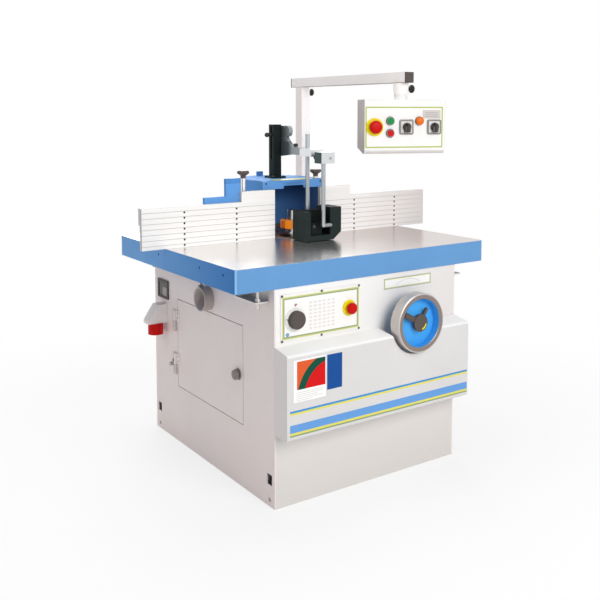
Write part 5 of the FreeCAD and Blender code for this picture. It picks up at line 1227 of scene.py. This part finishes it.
# %% Card and label
ARC_CENTRE, ARC_INNER, ARC_OUTER = (-0.268, 0, 0.418), (0.1288, 0.1296), (0.1572, 0.1580)
card_film = film("speed_card", rgb(246, 245, 244), 0.4)
tree = card_film.node_tree
arc = mix_colour(tree, from_axis(ARC_CENTRE, FLAT_Y, ARC_INNER)(tree), rgb(212, 20, 22), rgb(16, 78, 60))
field = mix_colour(tree, from_axis(ARC_CENTRE, FLAT_Y, ARC_OUTER)(tree), (arc, MIXED), rgb(220, 92, 46))
field_edges = ramps(*between("X", -0.4268, -0.3035, 0.0004), *between("Z", 0.4560, 0.5575, 0.0004))
finishes["speed_card"] = tint(card_film, (field, MIXED), field_edges)
fit(printed_plate("speed_card", 139, 151, 2, (), ("speed_card",)),
    "front", (-370.5, COVER_FACE, 487.5), "machine")
RULE_START = -430
for level, length in ((446, 118), (439, 118), (432, 92), (425, 118), (418, 70)):
    fit(printed_plate(f"card_rule_{level}", length, 1.6, 0, (), ("pale_grey",), 0.06),
        "front", (RULE_START + length / 2, COVER_FACE - SHEET, level), "machine")
fit(printed_plate("blue_label", 67.5, 128, 1.5, (), ("label_blue",)),
    "front", (-262.2, COVER_FACE, 497), "machine")
print("card and label on the cover")

# %% [markdown]
# The stripes touch one another, so each group is one long sheet. Bisecting planes cut it into bands, and each band
# is then found by its height and given its ink.

# %% Stripes
STRIPE_LEFT, STRIPE_RIGHT = -455.7, 409.0


def stripes(name, bottom, bands):
    """Stripes that lie on one another; bands are heights in millimetres with their inks, from the bottom up."""
    total = sum(height for height, look in bands)
    piece = start(name, "plane", [look for height, look in bands], size=1)
    bpy.ops.transform.resize(value=(MM * (STRIPE_RIGHT - STRIPE_LEFT), MM * total, 1))
    levels = [-total / 2]
    for height, look in bands:
        levels.append(levels[-1] + height)
    for level in levels[1:-1]:
        bpy.ops.mesh.select_all(action="SELECT")
        bpy.ops.mesh.bisect(plane_co=(0, MM * level, 0), plane_no=(0, 1, 0))
    bpy.ops.mesh.select_all(action="SELECT")
    draw_out(0, 0, SHEET)
    tidy_shell()
    for index, (low, high) in enumerate(zip(levels, levels[1:])):
        pick(piece, lambda spot, normal: MM * low < spot.y < MM * high)
        colour_faces(piece, index)
    return fit(piece, "front", ((STRIPE_LEFT + STRIPE_RIGHT) / 2, COVER_FACE, bottom + total / 2),
               "machine")


stripes("upper_stripes", 368.5, ((7.6, "line_yellow"), (7.7, "bright_blue")))
stripes("lower_stripes", 291, ((5.5, "line_green"), (8, "line_yellow"), (28.5, "band_blue")))
print("stripes on the cover")

# %% [markdown]
# ## Screws and bolts
# A socket screw is turned, then a six-sided key recess is cut into its head. A bolt is a six-sided head with its
# corners turned off, on a washer. One pattern is made on the bench for each size and copied to every place, so that
# each screw is a piece of its own.

# %% Screw patterns
HEAD_ROUND, SOCKET_RADIUS, SOCKET_DEPTH = 0.16, 0.5, 0.6
HEXAGON_RADIUS, CROWN_INSET, CROWN_RISE, WASHER_RADIUS = 0.577, 0.07, 0.12, 0.86


def socket_screw(name, radius, height, looks=("screw",)):
    """A low round head with a hexagon socket."""
    soft = HEAD_ROUND * radius
    profile = [(0, 0), (radius, 0), (radius, height - soft), (radius - soft, height), (0, height)]
    head = turned(name, profile, looks, 24)
    return cut_socket(head, 6, SOCKET_RADIUS * radius, height, SOCKET_DEPTH * height)


def hexagon_bolt(name, across, height, washer=1.6):
    """A six-sided head on a washer, with its upper corners turned off."""
    bolt = start(name, "cylinder", ("bolt",), vertices=6, radius=MM * across * HEXAGON_RADIUS, depth=MM * height,
                 location=(0, 0, MM * height / 2))
    pick(bolt, looks_up)
    bpy.ops.mesh.inset(thickness=MM * across * CROWN_INSET)
    bpy.ops.transform.translate(value=(0, 0, MM * height * CROWN_RISE))
    bpy.ops.mesh.primitive_cylinder_add(vertices=28, radius=MM * across * WASHER_RADIUS, depth=MM * washer,
                                        location=(0, 0, MM * washer / 2))
    return bolt


plate_screw = socket_screw("pattern_plate_screw", 4.6, 2.4)
small_screw = socket_screw("pattern_small_screw", 2.6, 1.4)
panel_screw = socket_screw("pattern_panel_screw", 6, 3, ("bolt",))
big_bolt = hexagon_bolt("pattern_big_bolt", 17, 8)
print("patterns:", plate_screw.name, small_screw.name, panel_screw.name, big_bolt.name)

# %% [markdown]
# The places are rows of millimetres on the faces that the screws hold: the control plate, the window's frame, the
# back and right panels, the post's brackets, the hood's fascia and the column's foot. The post's lower bracket
# covers one place in the grid on the back, so no screw goes there.

# %% Screws in their places
BRACKET_SHEET, FASCIA_SETBACK, FOOT_SHEET = 10, 10, 8
WINDOW_FACE, REAR_FACE = edge("side_window", "-x"), edge("rear_cover", "+y")
RIGHT_FACE, POST_FOOT = edge("right_side_panel", "+x"), edge("arm_post", "-y") + BRACKET_SHEET
FASCIA_FACE, COLUMN_FOOT = edge("fence_hood", "-y") + FASCIA_SETBACK, edge("presser_column", "-z") + FOOT_SHEET
UNDER_BRACKET = (381, 402)


def put_screws(rows):
    """Copies patterns and numbers them; a row is a pattern, a label, places, a facing and a body."""
    count = 0
    for pattern, label, places, facing, body in rows:
        for place in places:
            repeat(pattern, f"{label}_screw_{count}", place, facing, body)
            count += 1
    print(count, "screws")


put_screws((
    (plate_screw, "plate", [(x, PLATE_FACE, z) for x in (-437, -264, -91) for z in (775.5, 612.5)],
     "front", "machine"),
    (small_screw, "window", [(WINDOW_FACE, y, z) for y in (295.5, 387.5) for z in (613.5, 684.5)],
     "left", "machine"),
    (panel_screw, "rear",
     [(x, REAR_FACE, z) for x in (-436, -28, 381) for z in (26, 402, 778) if (x, z) != UNDER_BRACKET],
     "back", "machine"),
    (panel_screw, "right", [(RIGHT_FACE, y, z) for y in (-530, -66, 398) for z in (96, 740)],
     "right", "machine"),
    (big_bolt, "post", [(x, POST_FOOT, z + lift) for z in (375, 705) for x in (318.5, 408.5) for lift in (-26, 26)],
     "back", "machine"),
    (plate_screw, "fascia", [(x, FASCIA_FACE, 1121) for x in (-142, 142)], "front", "hood"),
    (plate_screw, "foot", [(x, y, COLUMN_FOOT) for y in (130, 184.6) for x in (-27, 27)], "top", "hood"),
))

# %% [markdown]
# Each hinge has two small screws in the leaf on the cabinet and two in the leaf on the door, so these ride on
# different bodies. Four screws hold the cutter's knives and turn with the spindle, and one closes the rod clamp.

# %% Small screws
HINGE_FEET, LEAF_SCREWS, LEAF_RISE, LEAF_SHEET = (296, 486), (16, 36), 44, 3
HINGE_FACE, CABINET_LEAF, DOOR_LEAF = SIDE_FACE - LEAF_SHEET, 240, 200
hinge_rows = []
for foot in HINGE_FEET:
    for lift in LEAF_SCREWS:
        level = foot + lift
        hinge_rows += [
            (small_screw, "hinge", [(HINGE_FACE, CABINET_LEAF, level)], "left", "machine"),
            (small_screw, "leaf", [(HINGE_FACE, DOOR_LEAF, level + LEAF_RISE)], "left", "door"),
        ]
CUTTER_TOP = edge("cutter_block", "+z")
cutter_places = [(x, y, CUTTER_TOP) for x, y in ((30, 30), (-30, 30), (-30, -30), (30, -30))]
put_screws((*hinge_rows, (plate_screw, "cutter", cutter_places, "top", "spindle")))
repeat(panel_screw, "clamp_head_screw", (18, edge("rod_clamps", "-y"), 1237), "front", "hood")

# %% [markdown]
# Long adjusting bolts hang under the table at its left side. The thread is a zigzag profile, spun like any other
# turned piece, and the head is a copy of the bolt pattern.

# %% Bolts under the table
THREAD_PITCH, THREAD_DEPTH = 1.75, 0.9
STUD_LINE, STUD_TOP, BOLT_TOP = -487.5, 866, 872


def threaded_stud(name, length, radius, thread):
    """A plain shank that ends in a thread of shallow rings."""
    profile = [(0, 0), (radius, 0), (radius, length - thread)]
    for ring in range(int(thread / THREAD_PITCH)):
        level = length - thread + THREAD_PITCH * ring
        profile += [(radius - THREAD_DEPTH, level + THREAD_DEPTH), (radius, level + THREAD_PITCH)]
    return turned(name, profile + [(0, profile[-1][1])], ("bolt",), 16)


for end, y, length in (("rear", 390, 122), ("front", -50, 140)):
    fit(threaded_stud(f"table_stud_{end}", length, 5, 70), "under", (STUD_LINE, y, STUD_TOP),
        "machine")
    repeat(big_bolt, f"table_bolt_{end}", (STUD_LINE, y, BOLT_TOP - length), "under", "machine")
scrap(plate_screw, small_screw, panel_screw, big_bolt)
print("studs under the table at", STUD_LINE, "mm")

# %% [markdown]
# ## Lamp, plug and index on the control plate
# The pilot lamp, the plug and the index dot are turned. The lamp's lens is a dome inside a chrome ring, so the two
# are separate pieces with their own profiles.

# %% Small turned fittings
PILOT = (-378.5, PLATE_FACE, 738.4)
fit(turned("pilot_ring", [(3.6, 0), (5.8, 0), (5.8, 1.6), (4.8, 2.4), (3.6, 2.0), (3.6, 0)], ("chrome",)),
    "front", PILOT, "machine")
fit(turned("pilot_lens", [(0, 0), (3.5, 0), (3.5, 2), (2.9, 3.4), (1.6, 4.3), (0, 4.6)], ("lens_red",)),
    "front", PILOT, "machine")
fit(turned("plate_plug", [(0, 0), (7.6, 0), (7.6, 1.2), (6.8, 2), (4, 2.6), (0, 2.8)], ("plug_blue",)),
    "front", (-414, PLATE_FACE, 634), "machine")
fit(turned("dial_index", [(0, 0), (2.6, 0), (2.6, 0.3), (2.2, 0.6), (0, 0.6)], ("black",)),
    "front", (-418, edge("control_plate", "-y"), 690), "machine")
print("fittings on the control plate, pilot lamp at", PILOT)

# %% [markdown]
# ## Face of the control box
# The box hangs turned by twenty degrees, so places on its face are given as a share of its width and a height. A
# small function turns them into places on the machine. The box's left end lies in shade and gets a tint along the
# same turned direction.

# %% Places on the control box
BOX_PIVOT, BOX_SPAN, BOX_START, BOX_FRONT, BOX_BACK = (363.5, -274), 366, -179, -45, 45
BOX_ALONG = (math.cos(BOX_TURN), math.sin(BOX_TURN), 0)


def on_box(share, level, lift=0.0, depth=BOX_FRONT):
    """A place on the control box: share of its width from the left, height, and lift off its face."""
    along, out = BOX_START + share * BOX_SPAN, depth - lift
    turn, slide = BOX_ALONG[:2]
    return (BOX_PIVOT[0] + turn * along - slide * out, BOX_PIVOT[1] + slide * along + turn * out, level)


ROW = 1363
box_end = Vector(BOX_ALONG).dot(Vector(on_box(0, ROW))) * MM
tint(finishes["box"], rgb(162, 153, 149), ramps((BOX_ALONG, box_end + 0.003, box_end + 0.001)))
print("box's left end at", on_box(0, ROW))

# %% [markdown]
# A bordered foil covers the face. Each selector has a white face plate with a dark rim and a raised handle that
# turns with it, and a small note plate with three grey rows stands above the right one.

# %% Foil, selectors and notes
fit(printed_plate("box_foil", 351, 175, 0, (1.2, 4.0, 1.8), ("line_pale", "line_olive", "line_pale", "foil_white")),
    "box", on_box(0.4925, 1362), "panel_box")
FACE_LIFT, HANDLE_LIFT, HANDLE_DROP = 5, 5.4, 9
for side, share, selector in (("left", 0.515, "first_selector"), ("right", 0.86, "second_selector")):
    fit(printed_plate(f"selector_face_{side}", 55, 55, 6, (2.2, 1.4),
                      ("line_dark", "pale_grey", "selector_white"), 0.16),
        "box", on_box(share, ROW, FACE_LIFT), "panel_box")
    fit(printed_plate(f"selector_handle_{side}", 24, 27, 4, (1.5,), ("cap", "cap"), 19),
        "box", on_box(share, ROW - HANDLE_DROP, HANDLE_LIFT), selector)
NOTES = 0.83
fit(printed_plate("box_notes", 82, 36, 0, (1.2,), ("pale_grey", "note_grey")),
    "box", on_box(NOTES, 1417, SHEET), "panel_box")
note_row = printed_plate("pattern_note_row", 60, 2.4, 0, (0.4,), ("line_grey", "line_grey"), 0.1)
for row, level in enumerate((1424, 1416, 1408)):
    repeat(note_row, f"box_note_row_{row}", on_box(NOTES, level, 2 * SHEET), "box", "panel_box")
scrap(note_row)
print("foil, selectors and notes on the box")

# %% [markdown]
# The orange lamp keeps flat facets, as moulded lenses have: a spin of few steps gives them, and a narrow smoothing
# angle keeps them. Four screws close the back of the box.

# %% Box lamp and back screws
LAMP_PROFILE = [(0, 0.5), (13.8, 0.5), (13.8, 9.2), (18.2, 9.2), (18.2, 11), (16, 14), (10, 16.4), (0, 17.2)]
fit(turned("box_lamp", LAMP_PROFILE, ("lens_orange",), 16), "box", on_box(0.674, ROW + 26),
    "panel_box", 10)
back_screw = socket_screw("pattern_back_screw", 4.4, 2.2, ("bolt",))
for share in (0.06, 0.94):
    for level in (1296, 1462):
        repeat(back_screw, f"box_screw_{level}_{round(share * 100)}", on_box(share, level, 0, BOX_BACK), "box_back",
               "panel_box")
scrap(back_screw)
print("control box dressed")

# %% [markdown]
# ## Window and hinge pin
# The window has a dark pane with a paler card behind its lower corner. The lower hinge has a spring pin with a
# small knob, held by a clip. Pane, card and clip are bevelled sheets, and the pin is turned.

# %% Window and hinge pin
PANE_SETBACK, PANE_SHEET = 3, 0.5
PANE_FACE = WINDOW_FACE + PANE_SETBACK
fit(printed_plate("window_pane", 80.6, 59.6, 2, (1.5,), ("cap", "pane"), PANE_SHEET),
    "left", (PANE_FACE, middle("side_window", "y"), middle("side_window", "z")), "machine")
fit(printed_plate("window_card", 44, 36, 1.5, (1,), ("pale_grey", "line_grey"), 0.3),
    "left", (PANE_FACE - PANE_SHEET, 324.5, 638.5), "machine")
PIN_PROFILE = [(0, 0), (3.2, 0), (3.2, 14), (6.4, 15), (7.6, 17), (7.6, 24), (6.2, 26.5), (0, 27)]
fit(turned("hinge_spring_pin", PIN_PROFILE, ("bolt",)), "back", (-473.4, 249, 330), "machine")
fit(printed_plate("pin_clip", 13, 15, 2, (1.5,), ("cap", "knob_grey"), 6),
    "left", (SIDE_FACE, 243, 350), "machine")
print("left side dressed, pane at", PANE_FACE, "mm")

# %% [markdown]
# ## Latch knob
# The latch knob is round with soft lobes. It is turned, and six round flutes are then cut from its edge. It takes
# the place of a plain solid, which is hidden so that only one of them shows.

# %% Latch knob
LATCH_PROFILE = [(0, 0), (22.5, 0), (22.5, 2.4), (21.6, 3), (12, 3), (12, 6), (19, 8), (19.8, 10), (19.8, 17),
                 (18.4, 20.4), (14, 22), (6, 22.8), (0, 23)]
FLUTES, FLUTE_CIRCLE, FLUTE_RADIUS, FLUTE_LOW, FLUTE_HIGH = 6, 24, 7.5, 5, 30
latch = turned("latch_knob", LATCH_PROFILE, ("knob_grey",), 36)
for step in range(FLUTES):
    angle = 4 * QUARTER * step / FLUTES
    cut_socket(latch, 20, FLUTE_RADIUS, (FLUTE_HIGH + FLUTE_LOW) / 2, (FLUTE_HIGH - FLUTE_LOW) / 2,
               (FLUTE_CIRCLE * math.cos(angle), FLUTE_CIRCLE * math.sin(angle)))
fit(latch, "left", (SIDE_FACE, middle("door_knob", "y"), middle("door_knob", "z")), "latch")
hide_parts("door_knob")
print("latch knob with", FLUTES, "flutes")

# %% [markdown]
# ## Crank mark and hood strip
# A yellow curve on the crank shows which way it is turned, and a bordered strip lies on the hood before the column.

# %% Crank mark and hood strip
mark = curved_strip("crank_mark", 26, 6, 64, -76, ("mark_yellow",), 0.2)
fit(mark, "front", (middle("handwheel", "x"), edge("crank_handle", "-y"), middle("handwheel", "z")),
    "wheel")
hood_strip = printed_plate(
    "hood_strip", 216, 76, 0, (12, 3, 3), ("line_green", "line_pale", "line_lime", "line_lime"), 0.3)
fit(hood_strip, "top", (14, edge("fence_hood", "-y") + 46, edge("presser_column", "-z")), "hood")
print("marks:", mark.name, hood_strip.name)

# %% [markdown]
# ## Presser fittings
# A small knob sits on the presser's neck. The column's knob is a ball on a thin neck, again in the place of a plain
# solid. In the recess of the shoe there are a dark block and a round boss, so that it does not look empty.

# %% Presser fittings
neck_knob = turned("neck_knob", [(0, 0.4), (7, 0.4), (9.6, 5), (9.6, 14.6), (8, 17), (0, 17.6)], ("black",))
fit(neck_knob, "top", (29, 34, 1272), "hood")
NECK_REACH = 20.3
BALL_PROFILE = [(0, -NECK_REACH), (4.7, -NECK_REACH), (4.7, 0), (5.4, 0), (5.4, 3), (3.8, 5), (3.8, 11.5), (7, 13),
                (9.8, 17), (10.8, 22), (9.8, 27), (7, 31), (3.5, 32.6), (0, 33)]
ball_knob = turned("column_ball_knob", BALL_PROFILE, ("black",))
fit(ball_knob, "left", (-NECK_REACH, middle("column_knob", "y"), middle("column_knob", "z")),
    "column_clamp")
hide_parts("column_knob")
BLOCK_BACK, BLOCK_DEPTH = -141, 37
fit(printed_plate("shoe_block", 54, 48, 5, (3,), ("column", "column"), BLOCK_DEPTH),
    "front", (-9, BLOCK_BACK, 938), "presser")
fit(turned("shoe_boss", [(0, 0), (7, 0), (7, 3.4), (5.6, 5), (2.6, 5), (2.6, 3), (0, 3)], ("screw",), 24),
    "front", (-24, BLOCK_BACK - BLOCK_DEPTH, 950), "presser")
print("presser fittings:", neck_knob.name, ball_knob.name)

# %% [markdown]
# ## Bushes in the fence
# Each fence plate has two columns of drilled holes. A dark flanged bush sits in every hole, its flange on the face;
# its black is painted shade, so that the holes read as deep. One bush is turned and copied.

# %% Bushes in the fence holes
BUSH_PROFILE = [(0, -7), (3.2, -7), (3.2, 0), (4.3, 0), (4.3, 0.25), (3.6, 0.4), (2.4, 0.3), (1.9, -1), (0, -1.2)]
FENCE_FRONT, FENCE_FOOT = edge("left_fence_plate", "-y"), edge("left_fence_plate", "-z")
HOLE_COLUMNS, HOLE_ROWS, FIRST_HOLE, HOLE_PITCH = (-546.5, -307.5, 307.5, 546.5), 7, 9.2, 21.7
# painted shade: each dark bush stands in for the shade deep in its hole
bush = turned("pattern_shade_bush", BUSH_PROFILE, ("black",), 16)
for x in HOLE_COLUMNS:
    side = "left" if x < 0 else "right"
    for row in range(HOLE_ROWS):
        level = FENCE_FOOT + FIRST_HOLE + HOLE_PITCH * row
        repeat(bush, f"{side}_bush_{abs(round(x))}_{row}", (x, FENCE_FRONT, level), "front", f"{side}_fence")
scrap(bush)
print(len(HOLE_COLUMNS) * HOLE_ROWS, "bushes")
